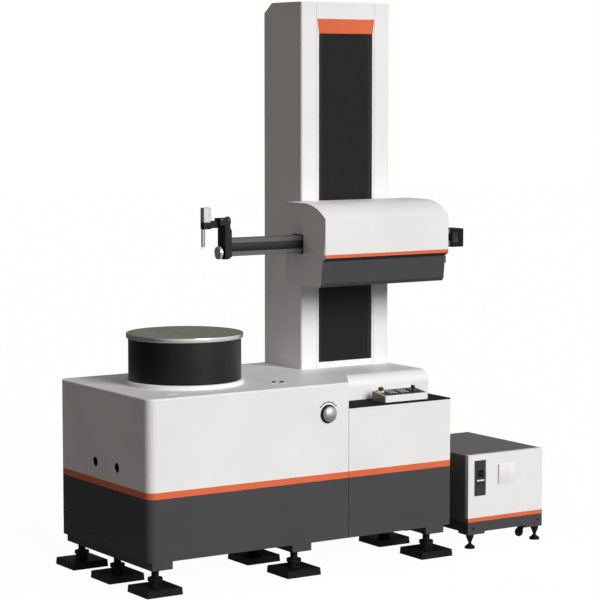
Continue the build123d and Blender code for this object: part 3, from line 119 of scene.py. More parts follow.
def relief(tree, shader, height, strength, depth_mm):
    """Bump from a height between 0 and 1."""
    settings = {"Strength": strength, "Distance": depth_mm * MM}
    bump = add_node(tree, "ShaderNodeBump", settings, {"Height": height})
    tree.links.new(bump.outputs["Normal"], shader.inputs["Normal"])


def powder_coat(name, dark, light, roughness=0.46, specular=0.45, peel_mm=4.0):
    """Powder-coated steel sheet: baked polyester, half gloss. Its orange peel, drawn about twice as
    coarse as the real 2 mm so that it shows, breaks up the highlights, and handling leaves faint
    patches in the gloss, a hand or two across."""
    material, tree, shader, place = new_finish(name, specular)
    patches = noise(tree, place, size_mm=260, detail=3.0)
    set_colour(tree, shader, patches, dark, light)
    set_roughness(tree, shader, patches, roughness - 0.05, roughness + 0.06)
    relief(tree, shader, noise(tree, place, peel_mm), strength=0.12, depth_mm=0.25)
    return material


def textured_enamel(name, dark, light, roughness=0.55, specular=0.25, lump_mm=6.0):
    """Enamel over a rough casting or forging: it keeps the lumps of the skin and is nearly matt."""
    material, tree, shader, place = new_finish(name, specular)
    lumps = noise(tree, place, lump_mm, detail=4.0)
    set_colour(tree, shader, lumps, dark, light)
    set_roughness(tree, shader, lumps, roughness - 0.1, roughness + 0.1)
    relief(tree, shader, lumps, strength=0.35, depth_mm=0.5)
    return material


def grained_metal(name, dark, light, roughness, stretch, grain_mm=1.6, depth_mm=0.05):
    """Metal with straight grain from grinding or brushing, long along the axis of small stretch.
    Real grain is a few hundredths of a millimetre wide. This is drawn coarser so that it shows."""
    material, tree, shader, place = new_finish(name, metallic=1.0)
    grain = noise(tree, place, grain_mm, detail=3.0, stretch=stretch)
    set_colour(tree, shader, grain, dark, light)
    set_roughness(tree, shader, grain, roughness - 0.07, roughness + 0.07)
    relief(tree, shader, grain, strength=0.2, depth_mm=depth_mm)
    return material


def dark_oxide(name, dark, light, roughness, stretch, metallic, specular):
    """Dark conversion layer on drawn metal, as anodising or blackening leaves it: the drawing lines
    still show, but the metal's mirror is nearly gone. The lines are 1.6 mm apart in the drawing,
    coarser than real, so that they show."""
    material, tree, shader, place = new_finish(name, specular, metallic)
    lines = noise(tree, place, size_mm=1.6, detail=3.0, stretch=stretch)
    set_colour(tree, shader, lines, dark, light)
    set_roughness(tree, shader, lines, roughness - 0.06, roughness + 0.06)
    relief(tree, shader, lines, strength=0.2, depth_mm=0.05)
    return material


# A ring wave of scale 1 has this many rings in a metre
RINGS_AT_SCALE_1 = 20 / (2 * math.pi)


def turned_metal(name, dark, light, roughness, centre, axis, ring_mm):
    """Metal faced on a lathe or lapped: rings round the centre line, under a light haze. The tool's
    own marks are finer than a pixel, so the rings are drawn as wide, faint bands that show."""
    material, tree, shader, place = new_finish(name, metallic=1.0)
    shift = {"Location": tuple(-value for value in centre)}
    centred = add_node(tree, "ShaderNodeMapping", shift, {"Vector": place}).outputs[0]
    wave = {
        "wave_type": "RINGS",
        "rings_direction": axis,
        "Scale": 1000 / ring_mm / RINGS_AT_SCALE_1,
        "Distortion": 1.5,
        "Detail": 2.0,
        "Detail Scale": 3.0,
    }
    rings = add_node(tree, "ShaderNodeTexWave", wave, {"Vector": centred}).outputs["Fac"]
    haze = noise(tree, place, size_mm=60, detail=4.0)
    both = add_node(
        tree,
        "ShaderNodeMath",
        {"operation": "MULTIPLY_ADD", 1: 0.25},
        {0: rings, 2: haze},
    ).outputs[0]
    set_colour(tree, shader, both, dark, light)
    set_roughness(tree, shader, both, roughness - 0.06, roughness + 0.08)
    relief(tree, shader, rings, strength=0.12, depth_mm=0.02)
    return material


def moulded_plastic(name, dark, light, roughness, specular=0.5, texture_mm=1.5, depth_mm=0.12):
    """Injection-moulded plastic: an even spark-eroded texture, drawn coarser than the real half
    millimetre, and a soft sheen."""
    material, tree, shader, place = new_finish(name, specular)
    shader.inputs["IOR"].default_value = 1.53
    texture = noise(tree, place, texture_mm)
    patches = noise(tree, place, size_mm=90, detail=2.0)
    set_colour(tree, shader, patches, dark, light)
    set_roughness(tree, shader, texture, roughness - 0.06, roughness + 0.06)
    relief(tree, shader, texture, strength=0.25, depth_mm=depth_mm)
    return material


def nylon_bristles(name, dark, light):
    """Strip brush of black nylon: bristles side by side across the gap, 1.5 mm apart in the drawing
    though the real ones touch, so that they show."""
    material, tree, shader, place = new_finish(name, 0.3)
    bristles = noise(tree, place, size_mm=1.5, detail=2.0, stretch=(0.03, 0.03, 1))
    set_colour(tree, shader, bristles, dark, light)
    shader.inputs["Roughness"].default_value = 0.7
    relief(tree, shader, bristles, strength=0.6, depth_mm=0.6)
    return material


table_low, table_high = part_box("table_disc")
table_centre = ((table_low.x + table_high.x) / 2, (table_low.y + table_high.y) / 2, 0)
knob_low, knob_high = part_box("regulator_knob")
knob_centre = ((knob_low.x + knob_high.x) / 2, 0, (knob_low.z + knob_high.z) / 2)
clamp_low, clamp_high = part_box("clamp_knob")
clamp_centre = (0, (clamp_low.y + clamp_high.y) / 2, (clamp_low.z + clamp_high.z) / 2)

white_coat = powder_coat("white_powder_coat", "#EAE9E8", "#F1F0EF")
grey_coat = powder_coat("dark_grey_powder_coat", "#464547", "#4B4A4C", 0.55, 0.12)
orange_coat = powder_coat("orange_powder_coat", "#E0683F", "#E66E44", 0.42, 0.3)
shell_coat = powder_coat("charcoal_powder_coat", "#626162", "#6A696A", 0.6, 0.3)
tray_coat = powder_coat("black_wrinkle_powder_coat", "#1B1B1C", "#222223", 0.85, 0.05, peel_mm=3.0)
drum_enamel = powder_coat("black_satin_enamel", "#070708", "#0A0A0B", 0.34, 0.3)
bracket_enamel = powder_coat("black_satin_bracket_enamel", "#1A1A1B", "#202021", 0.45, 0.2)
black_enamel = textured_enamel("black_enamel_on_forgings", "#0F0F10", "#161617", 0.55, 0.12)
cast_enamel = textured_enamel(
    "grey_enamel_on_cast_iron", "#4C5153", "#5D6264", 0.5, 0.4, lump_mm=12.0
)
lapped_steel = turned_metal("lapped_tool_steel", "#7F7C72", "#8B887F", 0.6, table_centre, "Z", 37.7)
rim_steel = grained_metal(
    "turned_steel_rim", "#CFCDC8", "#D8D6D1", 0.22, (0.05, 0.05, 1), grain_mm=1.5
)
turned_aluminium = turned_metal(
    "turned_aluminium", "#A09FA0", "#AFAEAF", 0.33, knob_centre, "Y", 12.57
)
clamp_face_steel = turned_metal(
    "turned_knob_face", "#C2C0BD", "#D0CECB", 0.42, clamp_centre, "X", 18.85
)
arm_anodised = dark_oxide(
    "dark_anodised_aluminium", "#585756", "#626160", 0.42, (0.04, 1, 1), metallic=0.4, specular=0.5
)
satin_aluminium = grained_metal(
    "satin_anodised_aluminium",
    "#CBC9C9",
    "#D3D1D1",
    0.3,
    (1, 1, 0.02),
    grain_mm=1.0,
    depth_mm=0.003,
)
chromed_steel = grained_metal(
    "chrome_plated_steel",
    "#C5C5C6",
    "#CDCDCE",
    0.2,
    (1, 1, 0.05),
    grain_mm=1.0,
    depth_mm=0.003,
)
ground_steel = grained_metal("ground_steel", "#8E8E90", "#A6A6A8", 0.3, (1, 1, 0.05))
milled_aluminium = grained_metal("milled_aluminium", "#9A9A9D", "#B4B4B6", 0.36, (0.1, 1, 1))
steel_band = dark_oxide(
    "black_oxide_steel_band", "#1B1A1A", "#212020", 0.5, (1, 1, 0.03), metallic=0.1, specular=0.1
)
black_abs = moulded_plastic("black_moulded_abs", "#141415", "#1B1B1C", 0.5, 0.3)
pale_abs = moulded_plastic("pale_grey_moulded_abs", "#F0EFED", "#F5F4F2", 0.5, 0.3)
# Mid grey of the column's seam seals, also used as painted shade on the remote's two ends
seal_and_side_shade_grey = moulded_plastic("mid_grey_seal_and_painted_side_shade", "#767472", "#7E7C7A", 0.5, 0.3)
panel_grey = moulded_plastic("charcoal_moulded_panel", "#2E2E2F", "#353536", 0.5, 0.25)
panel_white = moulded_plastic("white_moulded_abs", "#EEEDEC", "#F2F1F0", 0.5, 0.3)
key_silicone = moulded_plastic("dark_silicone_keys", "#1C1C1B", "#252524", 0.7, 0.15)
key_print = moulded_plastic("white_key_print", "#DAD9D6", "#E6E5E2", 0.5)
membrane = moulded_plastic("dark_polyester_membrane", "#20201E", "#282826", 0.5, 0.15)
red_abs = moulded_plastic(
    "red_moulded_abs", "#5C0A12", "#6C0E17", 0.35, 0.3, texture_mm=3.0, depth_mm=0.04
)
tread_rubber = moulded_plastic(
    "black_tread_rubber", "#0E0E0E", "#161616", 0.75, 0.2, texture_mm=2.0, depth_mm=0.2
)
# Black wiper rubber, whose black also stands in for painted shade in the gap round the arm
wiper_rubber_and_gap_shade = moulded_plastic(
    "black_wiper_rubber_painted_gap_shade", "#101010", "#171717", 0.7, 0.2, texture_mm=2.0, depth_mm=0.1
)
circuit_board = moulded_plastic("green_circuit_board", "#1F3B2A", "#29503A", 0.5)
screen_ink = moulded_plastic("dark_grey_screen_ink", "#1E1E20", "#28282A", 0.6, 0.15)
brush_nylon = nylon_bristles("black_nylon_brush", "#0D0C0C", "#1C1B1A")

finishes = {
    white_coat: "upper_cover cover_right column_cover_left column_cover_right column_cover_back "
    "column_front_frame head_cover head_end_left head_end_right table_collar cabinet_door",
    grey_coat: "skirt_left skirt_right head_lower_cover cabinet_base base_frame",
    shell_coat: "cabinet_shell",
    orange_coat: "trim_band head_trim column_header cabinet_band",
    black_enamel: "foot_pads foot_jack_bodies foot_jack_screws cabinet_feet caster_fork_front "
    "caster_fork_rear knob_ring arm_end_block",
    tread_rubber: "caster_wheel_front caster_wheel_rear",
    drum_enamel: "table_drum",
    tray_coat: "tray_top",
    arm_anodised: "arm",
    bracket_enamel: "probe_bracket detector_holder",
    satin_aluminium: "detector_body",
    chromed_steel: "clamp_knob stylus",
    turned_aluminium: "regulator_knob",
    steel_band: "cover_band",
    ground_steel: "spindle guide_rails drive_rod carriage",
    milled_aluminium: "arm_guide",
    cast_enamel: "bed bearing_housing column_casting table_drive",
    pale_abs: "remote_case",
    key_silicone: "remote_keys",
    red_abs: "stop_button",
    black_abs: "joystick_gimbal joystick breaker_toggle swivel_knob",
    panel_grey: "switch_panel",
    circuit_board: "cabinet_electronics",
    rim_steel: "table_disc",
}

# Ways of making a piece


def put_finish(piece, *materials):
    piece.data.materials.clear()
    for material in materials:
        piece.data.materials.append(material)


def pick(piece):
    """Only this piece selected, and active."""
    deselect_all()
    piece.select_set(True)
    bpy.context.view_layer.objects.active = piece


def leave_edit():
    if bpy.context.object.mode == "EDIT":
        bpy.ops.object.mode_set(mode="OBJECT")


def take_place():
    """The place, turn and scale of the picked piece taken into its mesh."""
    bpy.ops.object.transform_apply(location=True, rotation=True, scale=True)


body_and_slot = {}


def put_on_body(piece, body, slot):
    """The piece put on a body, and the body and the slot kept for its copies."""
    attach(piece, body)
    body_and_slot[piece.name] = body, slot
    deselect_all()


def settle(piece, body, slot, *materials):
    """Place taken into the mesh, smoothed where it is round, finished, and put on its body."""
    leave_edit()
    pick(piece)
    take_place()
    bpy.ops.object.shade_smooth_by_angle(angle=math.radians(35))
    put_finish(piece, *materials)
    put_on_body(piece, body, slot)


def ease_edges(piece, width_mm, segments=2, sharper_than=35):
    """Edges rounded off by a bevel, all but those that only bend a little."""
    pick(piece)
    bevel = piece.modifiers.new("eased_edges", "BEVEL")
    bevel.width = width_mm * MM
    bevel.segments = segments
    bevel.limit_method = "ANGLE"
    bevel.angle_limit = math.radians(sharper_than)
    bpy.ops.object.modifier_apply(modifier=bevel.name)


def add_box(name, low, high):
    """A box between two corners, with its size in its mesh."""
    deselect_all()
    middle = [(a + b) / 2 for a, b in zip(low, high)]
    size = [b - a for a, b in zip(low, high)]
    bpy.ops.mesh.primitive_cube_add(size=1, location=middle, scale=size)
    piece = bpy.context.object
    piece.name = name
    take_place()
    return piece


TURN_TO_AXIS = {
    "X": (0, math.radians(90), 0),
    "Y": (math.radians(90), 0, 0),
    "Z": (0, 0, 0),
}


def add_rod(name, middle, axis, radius, length, sides=32):
    """A round bar along an axis, with its size in its mesh."""
    deselect_all()
    bpy.ops.mesh.primitive_cylinder_add(
        vertices=sides, radius=radius, depth=length, location=middle, rotation=TURN_TO_AXIS[axis]
    )
    piece = bpy.context.object
    piece.name = name
    take_place()
    return piece


def cut_out(piece, cutter):
    """The cutter's shape taken out of a piece; the cutter is used up."""
    pick(piece)
    hole = piece.modifiers.new("hole", "BOOLEAN")
    hole.operation = "DIFFERENCE"
    hole.solver = "EXACT"
    hole.object = cutter
    bpy.ops.object.modifier_apply(modifier=hole.name)
    bpy.data.objects.remove(cutter)


def edit_faces(piece, wanted):
    """Edit mode with the faces selected whose centre and normal pass the test."""
    pick(piece)
    mesh = piece.data
    for part in (mesh.vertices, mesh.edges, mesh.polygons):
        part.foreach_set("select", [False] * len(part))
    for face in mesh.polygons:
        face.select = wanted(face.center, face.normal)
    bpy.ops.object.mode_set(mode="EDIT")
    bpy.ops.mesh.select_mode(type="FACE")


def sink(shift):
    """The selected faces extruded by a shift, and edit mode left."""
    bpy.ops.mesh.extrude_region_move(TRANSFORM_OT_translate={"value": shift})
    leave_edit()


def sink_ribs(piece, axis, step_degrees, depth):
    """Every second facet round a lying rod sunk, which leaves ribs between them."""
    wall = 0.25 * MM

    def every_second(centre, normal):
        along, across = (normal.x, normal.y) if axis == "X" else (normal.y, normal.x)
        step = math.degrees(math.atan2(normal.z, across)) // step_degrees
        return abs(along) < 0.1 and int(step) % 2 == 0

    edit_faces(piece, every_second)
    bpy.ops.mesh.inset(thickness=wall, use_individual=True)
    bpy.ops.mesh.extrude_faces_move(TRANSFORM_OT_shrink_fatten={"value": -depth})
    leave_edit()


def open_through(border):
    """The two selected faces inset and joined, which makes a frame, and edit mode left."""
    bpy.ops.mesh.inset(thickness=border)
    bpy.ops.mesh.bridge_edge_loops()
    leave_edit()


def turn_about(piece, axis, degrees, centre):
    """The whole mesh turned about a line through a point."""
    edit_faces(piece, lambda face_centre, normal: True)
    bpy.ops.transform.rotate(value=math.radians(degrees), orient_axis=axis, center_override=centre)
    leave_edit()


def copy_of(piece, name, shift=(0, 0, 0)):
    """A copy with its own mesh, moved by shift and riding as the first does."""
    pick(piece)
    bpy.ops.object.duplicate()
    copy = bpy.context.object
    copy.name = name
    copy.location = shift
    take_place()
    put_on_body(copy, *body_and_slot[piece.name])
    return copy


def button_screw(name, place, axis, outwards, radius_mm, body, finish=black_enamel):
    """Button-head screw with a round-edged head and a socket; place is on the surface."""
    radius = radius_mm * MM
    height, edge = radius * 0.7, radius * 0.3
    socket_border, socket_depth = radius * 0.25, radius * 0.35
    along = Vector([outwards if letter == axis else 0 for letter in "XYZ"])
    screw = add_rod(name, Vector(place) + along * height / 2, axis, radius, height, 24)
    edit_faces(screw, lambda centre, normal: normal.dot(along) > 0.9)
    bpy.ops.mesh.bevel(offset=edge, segments=3, affect="EDGES")
    leave_edit()
    top = max(vertex.co.dot(along) for vertex in screw.data.vertices) - 0.01 * MM
    edit_faces(screw, lambda centre, normal: normal.dot(along) > 0.99 and centre.dot(along) > top)
    bpy.ops.mesh.inset(thickness=socket_border)
    sink(-along * socket_depth)
    settle(screw, body, "steel", finish)
    return screw


# Turntable


def dress_table_disc():
    """Lapped top in a turned rim, with a small bevel, a relief groove inside its edge, and tapped
    holes on two circles."""
    radius = (table_high.x - table_low.x) / 2
    height = table_high.z - table_low.z
    middle = (table_centre[0], table_centre[1], (table_low.z + table_high.z) / 2)
    bevel_mm, groove_inset, groove_width, groove_depth = 1.6, 6 * MM, 1.5 * MM, 0.8 * MM
    disc = add_rod("table_disc_finished", middle, "Z", radius, height, 160)
    ease_edges(disc, bevel_mm, 3, 60)
    edit_faces(disc, lambda centre, normal: normal.z > 0.99 and centre.z > table_high.z - 0.01 * MM)
    bpy.ops.mesh.inset(thickness=groove_inset)
    bpy.ops.mesh.inset(thickness=groove_width)
    leave_edit()
    groove_outer = radius - bevel_mm * MM - groove_inset
    groove_inner = groove_outer - groove_width - 0.4 * MM

    def in_groove(centre, normal):
        reach = (centre.xy - Vector(table_centre).xy).length
        return normal.z > 0.99 and groove_inner < reach < groove_outer

    edit_faces(disc, in_groove)
    sink((0, 0, -groove_depth))
    hole_radius, hole_depth, mouth_radius, mouth_depth = 4.2 * MM, 14 * MM, 5.6 * MM, 0.8 * MM
    for circle_radius, first_angle in ((180 * MM, 168), (95 * MM, 66)):
        for quarter in range(4):
            turn = math.radians(first_angle + 90 * quarter)
            place = (
                table_centre[0] + circle_radius * math.cos(turn),
                table_centre[1] + circle_radius * math.sin(turn),
                table_high.z,
            )
            hole = add_rod("table_hole", place, "Z", hole_radius, 2 * hole_depth, 24)
            cut_out(disc, hole)
            mouth = add_rod("table_hole_mouth", place, "Z", mouth_radius, 2 * mouth_depth, 24)
            cut_out(disc, mouth)
    settle(disc, "turntable", "table_steel", lapped_steel, rim_steel)
    for face in disc.data.polygons:
        face.material_index = 0 if face.normal.z > 0.9 else 1
    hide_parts("table_disc")


def add_drum_seam():
    """Lap of the sheet that wraps the drum, a strip down its front left."""
    drum_low, drum_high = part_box("table_drum")
    face_x = table_centre[0] + (drum_high.x - drum_low.x) / 2
    half_width, sunk, rise, end_gap = 1.6 * MM, 1.0 * MM, 0.5 * MM, 2 * MM
    to_front_left = -225
    seam = add_box(
        "drum_seam",
        (face_x - sunk, table_centre[1] - half_width, drum_low.z + end_gap),
        (face_x + rise, table_centre[1] + half_width, drum_high.z - end_gap),
    )
    ease_edges(seam, 0.3, 2)
    turn_about(seam, "Z", to_front_left, table_centre)
    settle(seam, "turntable", "black_paint", bracket_enamel)


# Base


def add_knob_scale():
    """Graduation over the regulator: an arc with a mark at each end and three between."""
    arc_radius, line, rise = 49 * MM, 3.6 * MM, 0.25 * MM
    first_turn, last_turn = math.radians(38), math.radians(142)
    mark_half_width, mark_gap, mark_length = 1.8 * MM, 0.5 * MM, 5 * MM
    knob_x, knob_z = knob_centre[0], knob_centre[2]
    front_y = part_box("upper_cover")[0].y
    centre = (knob_x, front_y, knob_z)
    deselect_all()
    bpy.ops.mesh.primitive_cube_add(size=1, location=(knob_x + arc_radius, front_y, knob_z))
    arc = bpy.context.object
    arc.name = "knob_scale_arc"
    arc.scale = (line, rise, line)
    take_place()
    edit_faces(arc, lambda face_centre, normal: normal.z > 0.9)
    bpy.ops.mesh.spin(steps=26, angle=last_turn - first_turn, center=centre, axis=(0, 1, 0))
    bpy.ops.mesh.select_all(action="SELECT")
    bpy.ops.transform.rotate(value=first_turn, orient_axis="Y", center_override=centre)
    bpy.ops.mesh.remove_doubles(threshold=0.01 * MM)
    bpy.ops.mesh.normals_make_consistent(inside=False)
    settle(arc, "frame", "black_paint", screen_ink)
    mark_z = knob_z + arc_radius + mark_gap
    first_mark = add_box(
        "knob_scale_mark_0",
        (knob_x - mark_half_width, front_y - rise / 2, mark_z),
        (knob_x + mark_half_width, front_y + rise / 2, mark_z + mark_length),
    )
    ease_edges(first_mark, 0.08, 1)
    settle(first_mark, "frame", "black_paint", screen_ink)
    for number, turn in enumerate((-52, -26, 26, 52), 1):
        mark = copy_of(first_mark, f"knob_scale_mark_{number}")
        turn_about(mark, "Y", turn, centre)


def dress_regulator_knob():
    """Black grip ring with fine ribs under a polished dome."""
    back, front, radius = knob_high.y, knob_low.y, (knob_high.x - knob_low.x) / 2
    knob_x, knob_z = knob_centre[0], knob_centre[2]
    grip_depth, dome_inset, dome_rise = 7 * MM, 2.6 * MM, 0.2 * MM
    grip_front = back - grip_depth
    grip_middle = (knob_x, (back + grip_front) / 2, knob_z)
    grip = add_rod("regulator_grip", grip_middle, "Y", radius, grip_depth, 96)
    sink_ribs(grip, "Y", 3.75, 0.6 * MM)
    settle(grip, "regulator_knob", "black_plastic", black_abs)
    deselect_all()
    bpy.ops.mesh.primitive_uv_sphere_add(
        segments=64,
        ring_count=40,
        radius=1,
        location=(knob_x, grip_front + dome_rise, knob_z),
        rotation=TURN_TO_AXIS["Y"],
        scale=(radius - dome_inset, radius - dome_inset, grip_front + dome_rise - front),
    )
    dome = bpy.context.object
    dome.name = "regulator_dome"
    take_place()
    bpy.ops.object.mode_set(mode="EDIT")
    bpy.ops.mesh.select_all(action="SELECT")
    bpy.ops.mesh.bisect(
        plane_co=(knob_x, grip_front + dome_rise / 2, knob_z),
        plane_no=(0, 1, 0),
        clear_outer=True,
        use_fill=True,
    )
    settle(dome, "regulator_knob", "bright_metal", turned_aluminium)
    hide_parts("regulator_knob")


def add_base_fastenings():
    """Two screws on seats, and a blind plug, in the upper cover's top."""
    top_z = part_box("upper_cover")[1].z
    seat_x, seat_y, seat_radius, seat_rise = -58 * MM, -223 * MM, 14 * MM, 1.8 * MM
    to_second = (31 * MM, -14 * MM, 0)
    seat_middle = (seat_x, seat_y, top_z + seat_rise / 2)
    seat = add_rod("top_cover_seat_0", seat_middle, "Z", seat_radius, seat_rise, 48)
    ease_edges(seat, 0.8, 2)
    settle(seat, "frame", "white_paint", panel_white)
    screw_place = (seat_x, seat_y, top_z + seat_rise)
    screw = button_screw("top_cover_screw_0", screw_place, "Z", 1, 8.0, "frame")
    for piece, name in ((seat, "top_cover_seat_1"), (screw, "top_cover_screw_1")):
        copy_of(piece, name, to_second)
    plug_rise = 2.2 * MM
    plug_middle = (-590 * MM, -275 * MM, top_z + plug_rise / 2)
    plug = add_rod("top_cover_plug", plug_middle, "Z", 25 * MM, plug_rise, 64)
    ease_edges(plug, 0.9, 2)
    settle(plug, "frame", "white_paint", white_coat)


def add_screws(name, places, axis, outwards, radius_mm, body="frame"):
    """Button screws at several places: the first is made, and the others are copies of it."""
    first = button_screw(f"{name}_0", places[0], axis, outwards, radius_mm, body)
    for number, place in enumerate(places[1:], 1):
        copy_of(first, f"{name}_{number}", Vector(place) - Vector(places[0]))


def add_cover_screws():
    """Button screws that hold the left skirt, the column's back and the cabinet's back."""
    left_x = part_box("skirt_left")[0].x
    back_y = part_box("column_cover_back")[1].y
    rear_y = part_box("cabinet_shell")[1].y
    skirt = [(left_x, y * MM, 180 * MM) for y in (-60, 120, 300)]
    column = [(x * MM, back_y, z * MM) for z in (900, 1250, 1600, 1950, 2300) for x in (330, 692)]
    cabinet = [(x * MM, rear_y, z * MM) for z in (160, 395) for x in (900, 1277)]
    add_screws("skirt_screw", skirt, "X", -1, 3.5)
    add_screws("column_back_screw", column, "Y", 1, 5)
    add_screws("cabinet_back_screw", cabinet, "Y", 1, 4)


def add_seal_brushes():
    """Strip brushes that close the column's window on both sides of the steel band."""
    band_low, band_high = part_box("cover_band")
    frame_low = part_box("column_front_frame")[0]
    header_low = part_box("column_header")[0]
    window_half_width, lap, sill, into_header = 142 * MM, 1 * MM, 26 * MM, 2 * MM
    front, back = 0.1 * MM, 1.3 * MM
    left_x = (band_low.x + band_high.x) / 2 - window_half_width
    brush = add_box(
        "window_brush_left",
        (left_x - lap, band_low.y + front, frame_low.z + sill),
        (band_low.x + lap, band_low.y + back, header_low.z + into_header),
    )
    ease_edges(brush, 0.3, 1)
    settle(brush, "frame", "band_steel", brush_nylon)
    copy_of(brush, "window_brush_right", (band_high.x - left_x, 0, 0))


def add_column_gaskets():
    """Grey seal in the two long seams beside the column's front frame, in the same grey as the
    painted shade on the remote's two ends."""
    frame_low, frame_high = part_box("column_front_frame")
    seam, lap, rise, depth, end_gap = 1.0 * MM, 0.1 * MM, 0.15 * MM, 1.5 * MM, 1 * MM
    gasket = add_box(
        "column_gasket_left",
        (frame_low.x - seam - lap, frame_low.y - rise, frame_low.z + end_gap),
        (frame_low.x + lap, frame_low.y + depth, frame_high.z - end_gap),
    )
    ease_edges(gasket, 0.1, 2)
    settle(gasket, "frame", "grey_paint", seal_and_side_shade_grey)
    copy_of(gasket, "column_gasket_right", (frame_high.x - frame_low.x + seam, 0, 0))


# Head and arm


def dress_head_ends():
    """End plates whose front edge is grey along the lower cover, in the trim's colour at the trim,
    and white above."""
    trim_low, trim_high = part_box("head_trim")
    white, orange, grey = 0, 1, 2
    for node in ("head_end_left", "head_end_right"):
        plate = bpy.data.objects.new(f"{node}_finished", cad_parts[node].data.copy())
        bpy.context.scene.collection.objects.link(plate)
        edit_faces(plate, lambda centre, normal: True)
        bpy.ops.mesh.remove_doubles(threshold=0.01 * MM)
        for z in (trim_low.z, trim_high.z):
            bpy.ops.mesh.select_all(action="SELECT")
            bpy.ops.mesh.bisect(plane_co=(0, 0, z), plane_no=(0, 0, 1))
        settle(plate, "head", "white_paint", white_coat, orange_coat, grey_coat)
        for face in plate.data.polygons:
            on_front_edge = face.normal.y < -0.4 and face.center.y < 0
            if not on_front_edge or face.center.z >= trim_high.z:
                face.material_index = white
            else:
                face.material_index = grey if face.center.z < trim_low.z else orange
        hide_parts(node)


def add_head_back():
    """Sheet that closes the head's back, with a slot round each of the carriage's two necks."""
    left_low, left_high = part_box("head_end_left")
    right_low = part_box("head_end_right")[0]
    side_gap, edge_gap, inset, thickness = 0.3 * MM, 4.4 * MM, 0.5 * MM, 3 * MM
    panel = add_box(
        "head_back_panel",
        (left_high.x + side_gap, left_high.y - inset - thickness, left_low.z + edge_gap),
        (right_low.x - side_gap, left_high.y - inset, left_high.z - edge_gap),
    )
    slot_half_width, slot_bottom, slot_top = 8 * MM, 1297 * MM, 1433 * MM
    before, behind = 40 * MM, 80 * MM
    for side, neck_x in (("left", 378 * MM), ("right", 644 * MM)):
        cutter = add_box(
            f"neck_slot_{side}",
            (neck_x - slot_half_width, before, slot_bottom),
            (neck_x + slot_half_width, behind, slot_top),
        )
        cut_out(panel, cutter)
    ease_edges(panel, 0.6, 2)
    settle(panel, "head", "white_paint", white_coat)
    places = [(x * MM, 59.5 * MM, z * MM) for x in (208, 814) for z in (1215, 1515)]
    add_screws("head_back_screw", places, "Y", 1, 3.5, "head")


def add_arm_wipers_and_gap_shade():
    """Rubber wiper frames round the arm on the head's two end plates; their black also paints the
    shade in the gap where the arm enters.
    """
    arm_low, arm_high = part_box("arm")
    plate_thickness = 4 * MM
    left_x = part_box("head_end_left")[0].x
    right_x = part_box("head_end_right")[0].x + plate_thickness
    gap, border, thickness = 0.8 * MM, 4 * MM, 1.6 * MM
    reach = gap + border
    wiper_and_gap_shade = add_box(
        "arm_wiper_painted_gap_shade_left",
        (left_x - thickness, arm_low.y - reach, arm_low.z - reach),
        (left_x, arm_high.y + reach, arm_high.z + reach),
    )
    edit_faces(wiper_and_gap_shade, lambda centre, normal: abs(normal.x) > 0.9)
    open_through(border)
    ease_edges(wiper_and_gap_shade, 0.5, 2)
    settle(wiper_and_gap_shade, "head", "black_plastic", wiper_rubber_and_gap_shade)
    copy_of(wiper_and_gap_shade, "arm_wiper_painted_gap_shade_right", (right_x + thickness - left_x, 0, 0))


def add_arm_grooves():
    """Darker slideway strips along the arm's front and back grooves."""
    arm_low, arm_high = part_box("arm")
    middle_z = (arm_low.z + arm_high.z) / 2
    groove_depth, half_height, half_thickness, end_gap = 8 * MM, 17.3 * MM, 0.8 * MM, 0.2 * MM
    front_y, back_y = arm_low.y + groove_depth, arm_high.y - groove_depth
    strip = add_box(
        "arm_groove_strip_front",
        (arm_low.x + end_gap, front_y - half_thickness, middle_z - half_height),
        (arm_high.x - end_gap, front_y + half_thickness, middle_z + half_height),
    )
    ease_edges(strip, 0.4, 2)
    settle(strip, "arm", "black_paint", bracket_enamel)
    copy_of(strip, "arm_groove_strip_back", (0, back_y - front_y, 0))


def add_end_block_panel():
    """Cover plate with a sunk middle on the front of the arm's right end block."""
    block_low, block_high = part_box("arm_end_block")
    half_thickness, border, depth = 0.8 * MM, 3 * MM, 0.5 * MM
    from_left, to_left, from_bottom, from_top = 9 * MM, 38 * MM, 20 * MM, 18 * MM
    plate = add_box(
        "end_block_plate",
        (block_low.x + from_left, block_low.y - half_thickness, block_low.z + from_bottom),
        (block_low.x + to_left, block_low.y + half_thickness, block_high.z - from_top),
    )
    edit_faces(plate, lambda centre, normal: normal.y < -0.9)
    bpy.ops.mesh.inset(thickness=border)
    sink((0, depth, 0))
    ease_edges(plate, 0.25, 2)
    settle(plate, "arm", "black_plastic", black_abs)


def add_head_latch():
    """Dark moulded catch over the latch block on the head's right end."""
    end_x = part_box("head_end_right")[1].x
    sunk, rise = 5 * MM, 0.6 * MM
    front_y, back_y, bottom_z, top_z = -222.6 * MM, -194.4 * MM, 1266.4 * MM, 1297.6 * MM
    latch = add_box("head_latch", (end_x - sunk, front_y, bottom_z), (end_x + rise, back_y, top_z))
    ease_edges(latch, 2.5, 3)
    settle(latch, "head", "black_plastic", black_abs)


